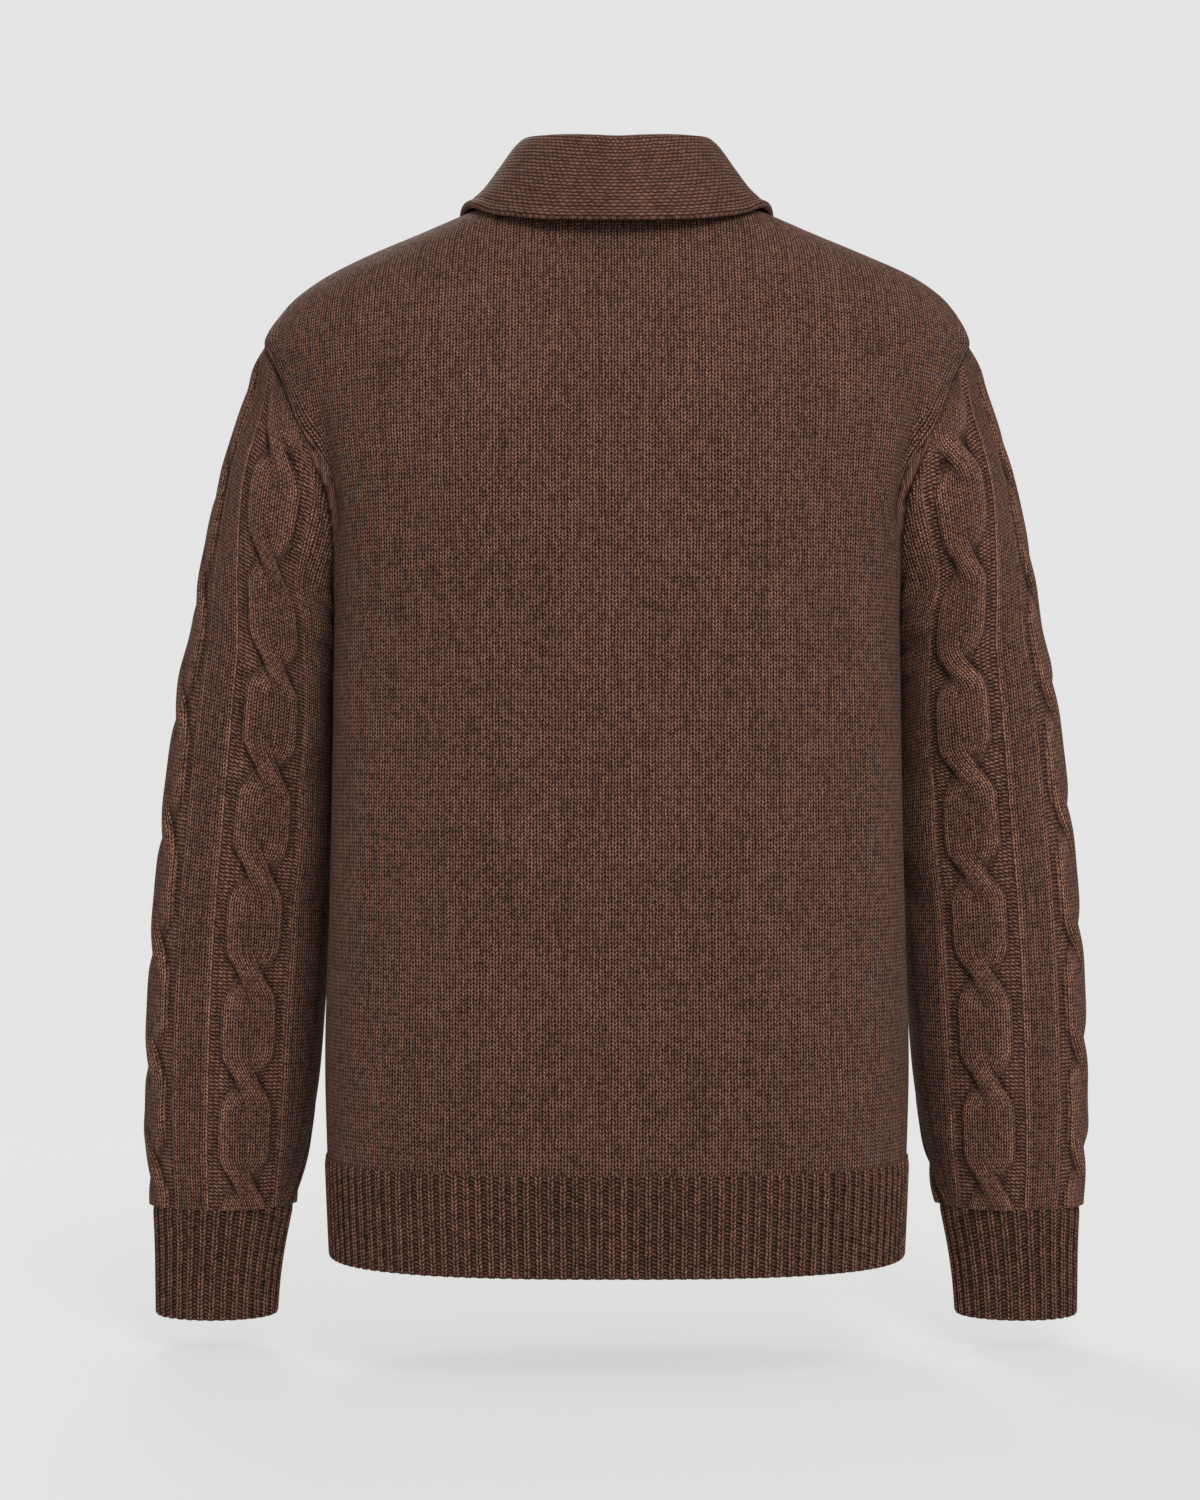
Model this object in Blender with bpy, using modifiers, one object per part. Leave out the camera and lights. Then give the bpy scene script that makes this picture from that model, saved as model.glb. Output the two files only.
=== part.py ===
"""Shawl collar cardigan: a knitted wool cardigan in its worn, hollow form.

Metres, +Z up. The front faces -Y and the wearer's left side is +X. The origin is the base of
the neck: on the middle line, level with the high points of the shoulders. Every cloth piece is
a wall over one torso form and one sleeve form. Cables and ribs are raised in the outer points
of a wall, over a plain inside. Pieces meet at seams with SEAM_GAP between them.
"""

import math

import bmesh
import bpy
import numpy as np

# ---------------------------------------------------------------- driving sizes
WALL = 0.0028  # thickness of the plain knit
SEAM_GAP = 0.0003
HEM_BOTTOM = -0.6875
HEM_TOP = -0.6225
CUFF_BOTTOM = -0.7380
CUFF_TOP = -0.6633
UNDERARM = -0.2560  # height of the armhole's lowest point
SHOULDER_TIP = -0.0945  # height of the armhole's highest point
NECK_HALF_WIDTH = 0.0780
NECK_BACK_DROP = 0.0220  # from the high point of the shoulder to the centre back neck
NECK_ROUNDNESS = 3.0
NECK_FORWARD = 0.0040  # the shoulder seam's place before the ridge, at the neck
V_BOTTOM = -0.3000  # where the collar's fold line starts, above the top button
BAND_HALF_WIDTH = 0.0180
RIB_PITCH = 0.0075  # one knit wale and one purl wale
RIB_HEIGHT = 0.0018
CABLE_HEIGHT = 0.0042
PLAIN_HEIGHT = 0.0012  # plain knit over the purl ground beside a cable
CABLE_HALF_WIDTH = 0.0180
CABLE_APART = 0.0390  # from a plain panel's middle to the middle of the cable beside it
CABLE_FADE = 0.010  # the cables rise out of the armhole seam over this length
COLLAR_WALL = 0.0032
BUTTON_HEIGHTS = (-0.3220, -0.4050, -0.4880, -0.5710, -0.6540)
BUTTON_RADIUS = 0.0110
BUTTON_THICKNESS = 0.0040

# height, half_width, back_depth, front_depth, squareness of the torso's level sections
TORSO = (
    (-0.7000, 0.1860, 0.1165, 0.1155, 2.70),
    (-0.6225, 0.1893, 0.1195, 0.1190, 2.70),
    (-0.5650, 0.1908, 0.1195, 0.1210, 2.70),
    (-0.4700, 0.1885, 0.1165, 0.1230, 2.70),
    (-0.3900, 0.1866, 0.1140, 0.1245, 2.65),
    (-0.3200, 0.1852, 0.1140, 0.1255, 2.60),
    (-0.2560, 0.1850, 0.1160, 0.1250, 2.60),
    (-0.2200, 0.1900, 0.1170, 0.1235, 2.60),
    (-0.1900, 0.1968, 0.1170, 0.1205, 2.60),
    (-0.1500, 0.2129, 0.1150, 0.1120, 2.55),
    (-0.1200, 0.2204, 0.1110, 0.1025, 2.50),
    (-0.0945, 0.2306, 0.1040, 0.0930, 2.40),
    (-0.0760, 0.2234, 0.0970, 0.0850, 2.35),
    (-0.0630, 0.2135, 0.0910, 0.0790, 2.30),
    (-0.0490, 0.1938, 0.0840, 0.0710, 2.25),
    (-0.0360, 0.1651, 0.0775, 0.0630, 2.20),
    (-0.0230, 0.1336, 0.0720, 0.0540, 2.20),
    (-0.0110, 0.1056, 0.0660, 0.0460, 2.20),
    (0.0000, 0.0780, 0.0590, 0.0390, 2.20),
    (0.0080, 0.0560, 0.0520, 0.0330, 2.20),
)

# height, half_width of the armhole seam
ARMHOLE = (
    (-0.2560, 0.1850),
    (-0.2450, 0.1846),
    (-0.2200, 0.1848),
    (-0.1900, 0.1872),
    (-0.1700, 0.1942),
    (-0.1500, 0.2025),
    (-0.1200, 0.2158),
    (-0.1050, 0.2243),
    (-0.0945, 0.2306),
)

# distance, outer_x, outer_z, inner_x, inner_z, centre_y, half_depth of the sleeve's sections
SLEEVE = (
    (0.048, 0.2525, -0.1500, 0.1935, -0.2690, -0.004, 0.0580),
    (0.095, 0.2690, -0.2100, 0.1900, -0.2900, -0.014, 0.0620),
    (0.145, 0.2820, -0.2750, 0.1880, -0.3200, -0.026, 0.0630),
    (0.198, 0.2920, -0.3350, 0.1875, -0.3650, -0.036, 0.0605),
    (0.253, 0.3005, -0.3950, 0.1885, -0.4150, -0.043, 0.0565),
    (0.308, 0.3070, -0.4550, 0.1925, -0.4650, -0.047, 0.0530),
    (0.375, 0.3120, -0.5250, 0.1975, -0.5280, -0.050, 0.0500),
    (0.429, 0.3135, -0.5800, 0.2025, -0.5820, -0.051, 0.0470),
    (0.479, 0.3125, -0.6300, 0.2110, -0.6310, -0.051, 0.0430),
    (0.512, 0.3105, CUFF_TOP, 0.2190, CUFF_TOP, -0.050, 0.0370),
)

# height, outer_x, inner_x, half_depth of the cuff's level sections
CUFF = (
    (CUFF_BOTTOM, 0.3085, 0.2300, 0.0310),
    (-0.7150, 0.3088, 0.2282, 0.0318),
    (-0.6900, 0.3092, 0.2245, 0.0330),
    (CUFF_TOP, 0.3105, 0.2190, 0.0370),
)

# side, middle (along the girth from the sleeve's middle line), pitch, first_cross (from the cuff)
CABLES = (
    (1, CABLE_APART, 0.0735, 0.0286),
    (1, 3 * CABLE_APART, 0.0695, 0.0180),
    (-1, CABLE_APART, 0.0735, 0.0286),
    (-1, 3 * CABLE_APART, 0.0695, 0.0180),
)

# distance, shift of the sleeve's middle line to the front of its outermost line
MIDDLE_SHIFT = ((0.0, 0.0135), (0.145, 0.0135), (0.300, 0.0180), (0.512, 0.0195))
COLUMNS_PARALLEL_TO = MIDDLE_SHIFT[1][0]  # above this the knit's columns run straight up

PATTERN_GIRTH = 0.344  # girth at which the cables have the sizes above
PLAIN_EDGE = 0.0138  # from a plain panel's middle to its edge
PURL_MIDDLE = 0.0176  # from a plain panel's middle to the middle of the purl channel
UNDER_PLACE = 0.2  # a place beyond every cable, for the plain knit under the arm

# the soft fold that runs down the back and front from the armhole seam to the body's side
CREASE_TOP = -0.1250
CREASE_BOTTOM = -0.2450
CREASE_X = 0.1985
CREASE_LEAN = 0.0120
CREASE_WIDTH = 0.0085
CREASE_DEPTH = 0.0050

# seam_z, fold_x, fold_z, edge_x, edge_z, roll (1 is half a turn), radius of the roll
COLLAR_START_LEFT = (
    (-0.3000, -0.0104, -0.3000, -0.0124, -0.3000, 0.00, 0.0026),
    (-0.2890, -0.0085, -0.2885, -0.0035, -0.2895, 0.22, 0.0026),
    (-0.2780, -0.0035, -0.2770, 0.0085, -0.2800, 0.52, 0.0030),
    (-0.2670, 0.0020, -0.2650, 0.0215, -0.2730, 0.86, 0.0036),
    (-0.2560, 0.0065, -0.2530, 0.0355, -0.2655, 1.00, 0.0040),
    (-0.2360, 0.0115, -0.2320, 0.0560, -0.2500, 1.00, 0.0044),
)
COLLAR_START_RIGHT = (
    (-0.3000, -0.0014, -0.3000, -0.0034, -0.3000, 0.00, 0.0026),
    (-0.2890, -0.0014, -0.2890, -0.0034, -0.2890, 0.00, 0.0026),
    (-0.2780, 0.0050, -0.2775, 0.0030, -0.2775, 0.00, 0.0026),
    (-0.2670, 0.0115, -0.2660, 0.0095, -0.2660, 0.00, 0.0026),
    (-0.2560, 0.0138, -0.2545, 0.0195, -0.2580, 0.45, 0.0030),
    (-0.2400, 0.0135, -0.2370, 0.0400, -0.2500, 0.95, 0.0040),
    (-0.2252, 0.0138, -0.2210, 0.0620, -0.2380, 1.00, 0.0044),
)
# the same above the crossing, for both halves
COLLAR_CHEST = (
    (-0.2050, 0.0165, -0.1990, 0.0800, -0.2200, 1.00, 0.0046),
    (-0.1700, 0.0215, -0.1620, 0.0980, -0.1790, 1.00, 0.0046),
    (-0.1270, 0.0280, -0.1160, 0.1110, -0.1300, 1.00, 0.0046),
    (-0.0820, 0.0355, -0.0660, 0.1165, -0.0830, 1.00, 0.0046),
)
# seam_x, seam_side, fold_x, fold_y, fold_z, edge_x, edge_y, edge_z round the neck
COLLAR_NECK = (
    (0.0703, -1, 0.0450, -0.0510, -0.0130, 0.1130, -0.0570, -0.0420),
    (0.0772, -1, 0.0525, -0.0180, 0.0290, 0.1035, -0.0230, -0.0138),
    (0.0768, 1, 0.0545, 0.0140, 0.0345, 0.0965, 0.0220, -0.0086),
    (0.0650, 1, 0.0450, 0.0420, 0.0330, 0.0825, 0.0560, -0.0150),
    (0.0370, 1, 0.0255, 0.0620, 0.0312, 0.0505, 0.0790, -0.0222),
    (0.0000, 1, 0.0000, 0.0700, 0.0295, 0.0000, 0.0885, -0.0245),
)

# ---------------------------------------------------------------- mesh densities
NECK_SHARE = NECK_HALF_WIDTH / ARMHOLE[-1][1]  # the column that ends at the neck's side
NECK_COLUMNS = 6
# Each column's share of the way from the middle (or the band) to the side.
SHOULDER_SHARES = (0.44, 0.56, 0.68, 0.79, 0.88, 0.95, 0.99, 1.0)
BACK_SHARES = (0.0, 0.14, 0.24, 0.30, 0.328, 0.3365, NECK_SHARE, *SHOULDER_SHARES)
BODY_ROWS = 6  # from the hem's top to the underarm, on the back
SLEEVE_ROWS = 34
INSIDE_STEP = 2  # the plain inside has a point for every second one outside
SLEEVE_INSIDE_ROWS = (0, 1, 2, 3, 5, 9, 14, 19, 24, 29, 34)  # closer by the underarm
RIB_POINTS = ((0.0, 0.0), (0.26, 1.0), (0.74, 1.0))  # place in the pitch, height

# ---------------------------------------------------------------- curves through tables


def through(knots, values, at):
    """The smooth curve through values at ascending knots, read at one or many places."""
    knots = np.asarray(knots, float)
    values = np.asarray(values, float)
    at = np.asarray(at, float)
    step = np.diff(knots)
    shape = (-1,) + (1,) * (values.ndim - 1)
    slope = np.diff(values, axis=0) / step.reshape(shape)
    tangent = np.empty_like(values)
    tangent[0] = slope[0]
    tangent[-1] = slope[-1]
    share = (step[1:] / (step[:-1] + step[1:])).reshape(shape)
    tangent[1:-1] = share * slope[:-1] + (1 - share) * slope[1:]
    cell = np.clip(np.searchsorted(knots, at) - 1, 0, len(step) - 1)
    s = (at - knots[cell]) / step[cell]
    extra = (1,) * (values.ndim - 1)
    s = s.reshape(at.shape + extra)
    h = step[cell].reshape(at.shape + extra)
    return (
        (2 * s**3 - 3 * s**2 + 1) * values[cell]
        + (s**3 - 2 * s**2 + s) * h * tangent[cell]
        + (3 * s**2 - 2 * s**3) * values[cell + 1]
        + (s**3 - s**2) * h * tangent[cell + 1]
    )


def column(table, index):
    return np.array([row[index] for row in table], float)


def smooth(value):
    """0 to 1 with level ends."""
    value = np.clip(value, 0.0, 1.0)
    return value * value * (3 - 2 * value)


def unit(vectors):
    return vectors / np.maximum(np.linalg.norm(vectors, axis=-1, keepdims=True), 1e-12)


# ---------------------------------------------------------------- the torso's form
TORSO_Z = column(TORSO, 0)


def half_width(z):
    return through(TORSO_Z, column(TORSO, 1), z)


def depth(z, side):
    return through(TORSO_Z, column(TORSO, 2 if side > 0 else 3), z)


def squareness(z):
    return through(TORSO_Z, column(TORSO, 4), z)


def torso_y(x, z, side):
    """How far the cloth's outside lies behind (side 1) or before (side -1) the shoulder line."""
    power = squareness(z)
    inside = np.clip(1 - (np.abs(x) / half_width(z)) ** power, 0.0, 1.0)
    return depth(z, side) * inside ** (1 / power)


def torso_level(x, y, z):
    """1 on the torso's outside, less within it."""
    power = squareness(z)
    deep = np.where(y >= 0, depth(z, 1), depth(z, -1))
    return (np.abs(x) / half_width(z)) ** power + (np.abs(y) / deep) ** power


def torso_normal(points):
    x, y, z = points[..., 0], points[..., 1], points[..., 2]
    small = 1e-5
    grown = [torso_level(x + small, y, z) - torso_level(x - small, y, z)]
    grown.append(torso_level(x, y + small, z) - torso_level(x, y - small, z))
    grown.append(torso_level(x, y, z + small) - torso_level(x, y, z - small))
    return unit(np.stack(grown, axis=-1))


RIDGE_TOP = TORSO[-1][0]
SHOULDER_Z = np.linspace(SHOULDER_TIP, RIDGE_TOP, 400)
SHOULDER_X = half_width(SHOULDER_Z)


def shoulder_line(x):
    """Height of the shoulder's ridge at a distance x from the middle."""
    return np.interp(x, SHOULDER_X[::-1], SHOULDER_Z[::-1])


def panel_edge(z):
    """Half width of the body panels: the side seam, then the armhole, then straight up."""
    armhole = through(column(ARMHOLE, 0), column(ARMHOLE, 1), np.clip(z, UNDERARM, SHOULDER_TIP))
    return np.where(z < UNDERARM, half_width(z), armhole)


def neck_edge_z(x):
    """Height of the back neck seam."""
    reach = np.clip(np.abs(x) / NECK_HALF_WIDTH, 0, 1)
    return NECK_BACK_DROP * (reach**NECK_ROUNDNESS - 1)


def front_edge_x(z):
    """Half distance between the front panels: the band's seam, then the neckline's slope."""
    rise = np.clip((z - V_BOTTOM) / -V_BOTTOM, 0, 1.1)
    return BAND_HALF_WIDTH + (NECK_HALF_WIDTH - BAND_HALF_WIDTH) * rise**0.95


def armhole_loop(angle):
    """The armhole seam: 0 at the shoulder's tip, 90 degrees at its back, 180 at the underarm."""
    z = UNDERARM + (SHOULDER_TIP - UNDERARM) * (1 + np.cos(angle)) / 2
    x = panel_edge(z)
    back = torso_y(x, z, 1)
    front = torso_y(x, z, -1)
    y = np.where(np.sin(angle) >= 0, back, -front)
    return np.stack([x, y, z], axis=-1)


# ---------------------------------------------------------------- the sleeve's form
SLEEVE_LENGTH = SLEEVE[-1][0]


def oval(row, angle):
    """One section of the sleeve; the angle is 0 at its outermost point and 90 degrees behind."""
    outer = np.array([row[1], 0, row[2]])
    inner = np.array([row[3], 0, row[4]])
    middle = (outer + inner) / 2 + np.array([0, row[5], 0])
    across = (outer - inner) / 2
    deep = np.array([0, row[6], 0])
    angle = np.asarray(angle)[..., None]
    return middle + across * np.cos(angle) + deep * np.sin(angle)


def sleeve_point(angle, distance):
    rows = [armhole_loop(angle)]
    rows.extend(oval(row, angle) for row in SLEEVE)
    rows = np.stack(rows)
    knots = np.concatenate([[0.0], column(SLEEVE, 0)])
    angle, distance = np.broadcast_arrays(angle, distance)
    out = np.empty(angle.shape + (3,))
    flat_rows = rows.reshape(len(rows), -1, 3)
    flat_out = out.reshape(-1, 3)
    for place, where in enumerate(distance.reshape(-1)):
        flat_out[place] = through(knots, flat_rows[:, place], where)
    return out


def sleeve_normal(angle, distance):
    small = 1e-4
    around = sleeve_point(angle + small, distance) - sleeve_point(angle - small, distance)
    along = sleeve_point(angle, distance + small) - sleeve_point(angle, distance)
    return unit(np.cross(along, around))


def girth_table(distance):
    """Angles and the girth run from the outermost point, all round one section."""
    angles = np.linspace(-math.pi, math.pi, 145)
    points = sleeve_point(angles, np.full_like(angles, distance))
    run = np.concatenate([[0], np.cumsum(np.linalg.norm(np.diff(points, axis=0), axis=1))])
    run = run - np.interp(0.0, angles, run)
    return angles, run


def pattern_columns():
    """Signed places of the sleeve's points, along the girth from its middle line."""
    places = [0.0]
    for _, middle, _, _ in CABLES[:2]:
        before = middle - CABLE_APART
        after = middle + CABLE_APART
        places += [before + PLAIN_EDGE, before + PURL_MIDDLE]
        places += [middle + CABLE_HALF_WIDTH * share for share in (-0.92, -0.5, 0.0, 0.5, 0.92)]
        places += [after - PURL_MIDDLE, after - PLAIN_EDGE]
        if middle == CABLE_APART:
            places.append(after)
    return places


def cable_height(across, along, pitch, first_cross, lean):
    """Relief of a two-strand cable; across is -1 to 1, along is measured from the cuff."""
    turn = (along - first_cross) / pitch
    from_cross = turn - np.round(turn)
    swing = np.sin(np.clip(from_cross / 0.30, -1, 1) * math.pi / 2)
    over = -0.47 * lean * swing
    waist = 1 - 0.16 * np.exp(-((from_cross / 0.16) ** 2))
    strand = 0.56
    over_dome = np.clip(1 - ((across / waist - over) / strand) ** 2, 0, 1) ** 0.5
    under_dome = np.clip(1 - ((across / waist + over) / strand) ** 2, 0, 1) ** 0.5
    sunk = 1 - 0.55 * np.exp(-((from_cross / 0.20) ** 2))
    lifted = 1 + 0.10 * np.exp(-((from_cross / 0.20) ** 2))
    return CABLE_HEIGHT * np.maximum(over_dome * lifted, under_dome * sunk)


def sleeve_relief(place, along, lean):
    """Height over the purl ground at a signed place on the girth; the lean is the cables' twist."""
    out = np.full(np.broadcast(place, along).shape, PLAIN_HEIGHT)
    for side, middle, pitch, first_cross in CABLES:
        across = (place - side * middle) / CABLE_HALF_WIDTH
        ground = (CABLE_APART - PLAIN_EDGE) / CABLE_HALF_WIDTH
        out = np.where(np.abs(across) < ground - 0.02, 0.0, out)
        raised = cable_height(across, along, pitch, first_cross, lean)
        out = np.where(np.abs(across) < 1, np.maximum(out, raised), out)
    return out


def sleeve_angles(distance):
    """Angle and signed pattern place of each sleeve column at one distance down the sleeve."""
    read = max(distance, COLUMNS_PARALLEL_TO)
    angles, run = girth_table(read)
    girth = run[-1] - run[0]
    scale = (girth / PATTERN_GIRTH) ** 0.5
    shift = -np.interp(read, column(MIDDLE_SHIFT, 0), column(MIDDLE_SHIFT, 1))
    half = pattern_columns()
    forward = [shift + scale * place for place in half]
    backward = [shift - scale * place for place in half[:0:-1]]
    drift = smooth((read - COLUMNS_PARALLEL_TO) / 0.20)
    seam = girth / 2 + shift * drift
    under = [(forward[-1] + seam) / 2, seam, (seam + backward[0] + girth) / 2]
    runs = np.array(forward + under + [value + girth for value in backward])
    wrapped = np.where(runs > run[-1], runs - girth, runs)
    found = np.interp(wrapped, run, angles)
    found = np.where(runs > run[-1], found + 2 * math.pi, found)
    places = np.array(half + 3 * [UNDER_PLACE] + [-place for place in half[:0:-1]])
    return found, places


FIRST_ANGLES, PATTERN_PLACES = sleeve_angles(0.0)
HALF_COUNT = len(pattern_columns())
SEAM_INDEX = HALF_COUNT + 1  # the underarm column, where the side seam meets the armhole
FIRST_ANGLES[SEAM_INDEX] = math.pi
SHOULDER_FORWARD = -float(armhole_loop(FIRST_ANGLES[:1])[0, 1])  # shoulder seam before the ridge


def seam_forward(x):
    """How far the shoulder seam lies before the ridge."""
    at_tip = panel_edge(np.array(SHOULDER_TIP))
    return np.interp(x, (NECK_HALF_WIDTH, at_tip), (NECK_FORWARD, SHOULDER_FORWARD))


# ---------------------------------------------------------------- building walls


def new_material(name, colour, roughness):
    material = bpy.data.materials.new(name)
    material.use_nodes = True
    shader = material.node_tree.nodes["Principled BSDF"]
    shader.inputs["Base Color"].default_value = (*colour, 1.0)
    shader.inputs["Roughness"].default_value = roughness
    shader.inputs["Metallic"].default_value = 0.0
    return material


def new_object(name, mesh, collection, colour, roughness):
    mesh.materials.append(new_material(name, colour, roughness))
    mesh.shade_smooth()
    mesh.set_sharp_from_angle(angle=math.radians(40))
    part = bpy.data.objects.new(name, mesh)
    collection.objects.link(part)
    return part


def strip(bm, first, second):
    """Faces between two runs of vertices of unlike counts, over the shorter diagonals."""
    i = 0
    j = 0
    while i < len(first) - 1 or j < len(second) - 1:
        if j == len(second) - 1:
            step_first = True
        elif i == len(first) - 1:
            step_first = False
        else:
            ahead_first = (first[i + 1].co - second[j].co).length
            ahead_second = (first[i].co - second[j + 1].co).length
            step_first = ahead_first <= ahead_second
        if step_first:
            bm.faces.new((first[i], first[i + 1], second[j]))
            i += 1
        else:
            bm.faces.new((first[i], second[j + 1], second[j]))
            j += 1


def wall_mesh(name, outer, inner, closed=False):
    """A closed wall from an outer grid, [row][column][xyz], and the runs of its inside.

    In a closed wall, a tube, the inner runs are rings, one over the other. In an open one they
    are columns, one beside the other. The runs may have fewer points than the outer grid.
    """
    bm = bmesh.new()
    outside = [[bm.verts.new(point) for point in row] for row in outer]
    inside = [[bm.verts.new(point) for point in run] for run in inner]
    if closed:
        outside = [row + row[:1] for row in outside]
        inside = [run + run[:1] for run in inside]
    for lower, upper in zip(outside, outside[1:]):
        for k in range(len(lower) - 1):
            bm.faces.new((lower[k], lower[k + 1], upper[k + 1], upper[k]))
    for run, following in zip(inside, inside[1:]):
        strip(bm, run, following)
    if closed:
        strip(bm, inside[0], outside[0])
        strip(bm, inside[-1], outside[-1])
    else:
        strip(bm, [run[0] for run in inside], outside[0])
        strip(bm, [run[-1] for run in inside], outside[-1])
        strip(bm, inside[0], [row[0] for row in outside])
        strip(bm, inside[-1], [row[-1] for row in outside])
    bmesh.ops.triangulate(bm, faces=[face for face in bm.faces if len(face.verts) > 3])
    bmesh.ops.recalc_face_normals(bm, faces=bm.faces)
    mesh = bpy.data.meshes.new(name)
    bm.to_mesh(mesh)
    bm.free()
    return mesh


def every(values, step):
    """Each step-th value, with the last one kept."""
    picked = list(range(0, len(values) - 1, step))
    picked.append(len(values) - 1)
    return picked


# ---------------------------------------------------------------- body panels


def armhole_frames(side):
    """Seam points, shared rim directions and gap directions of one armhole's back or front.

    They run from the underarm to the shoulder seam.
    """
    if side > 0:
        picked = list(range(SEAM_INDEX, -1, -1))
    else:
        picked = list(range(SEAM_INDEX, len(FIRST_ANGLES))) + [0]
    angles = FIRST_ANGLES[picked]
    return seam_frames(angles)


def seam_frames(angles):
    points = armhole_loop(angles)
    small = 1e-3
    tangent = unit(armhole_loop(angles + small) - armhole_loop(angles - small))
    outward = unit(torso_normal(points) + sleeve_normal(angles, np.full_like(angles, 1e-3)))
    outward = unit(outward - tangent * np.sum(outward * tangent, axis=-1, keepdims=True))
    gap = unit(np.cross(tangent, outward))
    down = sleeve_point(angles, np.full_like(angles, 0.01)) - points
    facing = np.sign(np.sum(gap * down, axis=-1, keepdims=True))
    return points, outward, gap * facing


def crease_depth(x, z):
    """Depth of the soft fold that runs down from the armhole seam to the body's side."""
    run = np.clip((z - CREASE_TOP) / (CREASE_BOTTOM - CREASE_TOP), 0, 1)
    middle = CREASE_X - CREASE_LEAN * run
    ends = smooth(run / 0.35) * smooth((1 - run) / 0.30)
    return CREASE_DEPTH * ends * np.exp(-(((np.abs(x) - middle) / CREASE_WIDTH) ** 2))


def body_outside(x, z, side):
    """Points of the torso's outside at given x and z."""
    x, z = np.broadcast_arrays(x, z)
    return np.stack([x, side * torso_y(x, z, side), z], axis=-1)


def front_shares():
    """Shares of the front's columns that end at the back's points on the shoulder seam."""
    x = np.array(SHOULDER_SHARES) * float(panel_edge(np.array(SHOULDER_TIP)))
    inner = front_edge_x(shoulder_line(x))
    shares = (x - inner) / (x[-1] - inner)
    return (0.0, *shares[:-1], 1.0)


def ended_at(points, y):
    """The path up to where it passes a given y, with its end set there."""
    passed = np.sign(points[:, 1] - y) != np.sign(points[0, 1] - y)
    last = int(np.argmax(passed))
    share = (y - points[last - 1, 1]) / (points[last, 1] - points[last - 1, 1])
    end = points[last - 1] + (points[last] - points[last - 1]) * share
    return np.concatenate([points[:last], [end]])


def panel_path(side, share):
    """The dense run of one panel column from the underarm's level to the shoulder or neck seam."""
    z = np.linspace(UNDERARM, RIDGE_TOP, 700)
    edge = panel_edge(z)
    neck = False
    if side > 0:
        x = share * edge
        neck = share < NECK_SHARE
        top = neck_edge_z(x) if neck else shoulder_line(x)
    else:
        inner = front_edge_x(z)
        x = inner + share * (edge - inner)
        top = shoulder_line(x)
    keep = np.nonzero(z >= top)[0]
    last = keep[0] if len(keep) else len(z) - 1
    z = z[: last + 1]
    x = x[: last + 1]
    z[-1] = top[last]
    points = body_outside(x, z, side)
    if side > 0 and not neck:
        ridge_x = x[-1]
        beyond_z = np.linspace(z[-1], z[-1] - 0.02, 120)[1:]
        beyond = body_outside(np.full_like(beyond_z, ridge_x), beyond_z, -1)
        points = ended_at(np.concatenate([points, beyond]), -seam_forward(ridge_x))
    if side < 0:
        points = ended_at(points, -seam_forward(x[-1]))
    return points


def run_along(points):
    """The length run along a path, at each of its points."""
    return np.concatenate([[0], np.cumsum(np.linalg.norm(np.diff(points, axis=0), axis=1))])


def resampled(points, run, where):
    return np.stack([np.interp(where, run, points[:, k]) for k in range(3)], axis=-1)


def low_levels(side):
    """Heights of a panel's rows from the hem to the underarm."""
    low = HEM_TOP + SEAM_GAP / 2
    if side > 0:
        return np.linspace(low, UNDERARM, BODY_ROWS + 1)[:-1]
    return np.concatenate([np.linspace(low, V_BOTTOM, 6), [(V_BOTTOM + UNDERARM) / 2]])


def body_grid(side, column_shares):
    """Outside points and rim directions of a body panel's half."""
    seam, rim, gap = armhole_frames(side)
    seam_run = run_along(seam)
    seam_shares = seam_run / seam_run[-1]
    levels = low_levels(side)
    shoulder_path = panel_path(side, NECK_SHARE)
    shoulder_length = run_along(shoulder_path)[-1]
    columns = []
    for share in column_shares:
        inner = front_edge_x(levels) if side < 0 else 0 * levels
        low = body_outside(inner + share * (panel_edge(levels) - inner), levels, side)
        if share == 1:
            columns.append(np.concatenate([low, seam]))
            continue
        path = panel_path(side, share)
        run = run_along(path)
        where = seam_shares * run[-1]
        if side > 0 and share < NECK_SHARE:
            # The neck's columns keep the rows of the column beside them, and close up at the top.
            where = shoulder_length * (seam_shares - seam_shares**3) + run[-1] * seam_shares**3
        columns.append(np.concatenate([low, resampled(path, run, where)]))
    grid = np.stack(columns, axis=1)
    normals = torso_normal(grid)
    grid -= normals * crease_depth(grid[..., 0], grid[..., 2])[..., None]
    normals[len(levels):, -1] = rim
    grid[len(levels):, -1] = seam - gap * SEAM_GAP / 2
    return grid, normals, len(levels)


def shrink_rows(grid):
    """Takes half a seam gap off the top row, along the columns."""
    toward = unit(grid[-2] - grid[-1])
    grid[-1, :-1] += toward[:-1] * SEAM_GAP / 2


def inner_columns(grid, normals, picked, full):
    """The runs of a panel's inside: its picked columns, of which some keep every point."""
    inside = grid - normals * WALL
    rows = every(grid, INSIDE_STEP)
    return [inside[:, k] if k in full else inside[rows, k] for k in picked]


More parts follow.
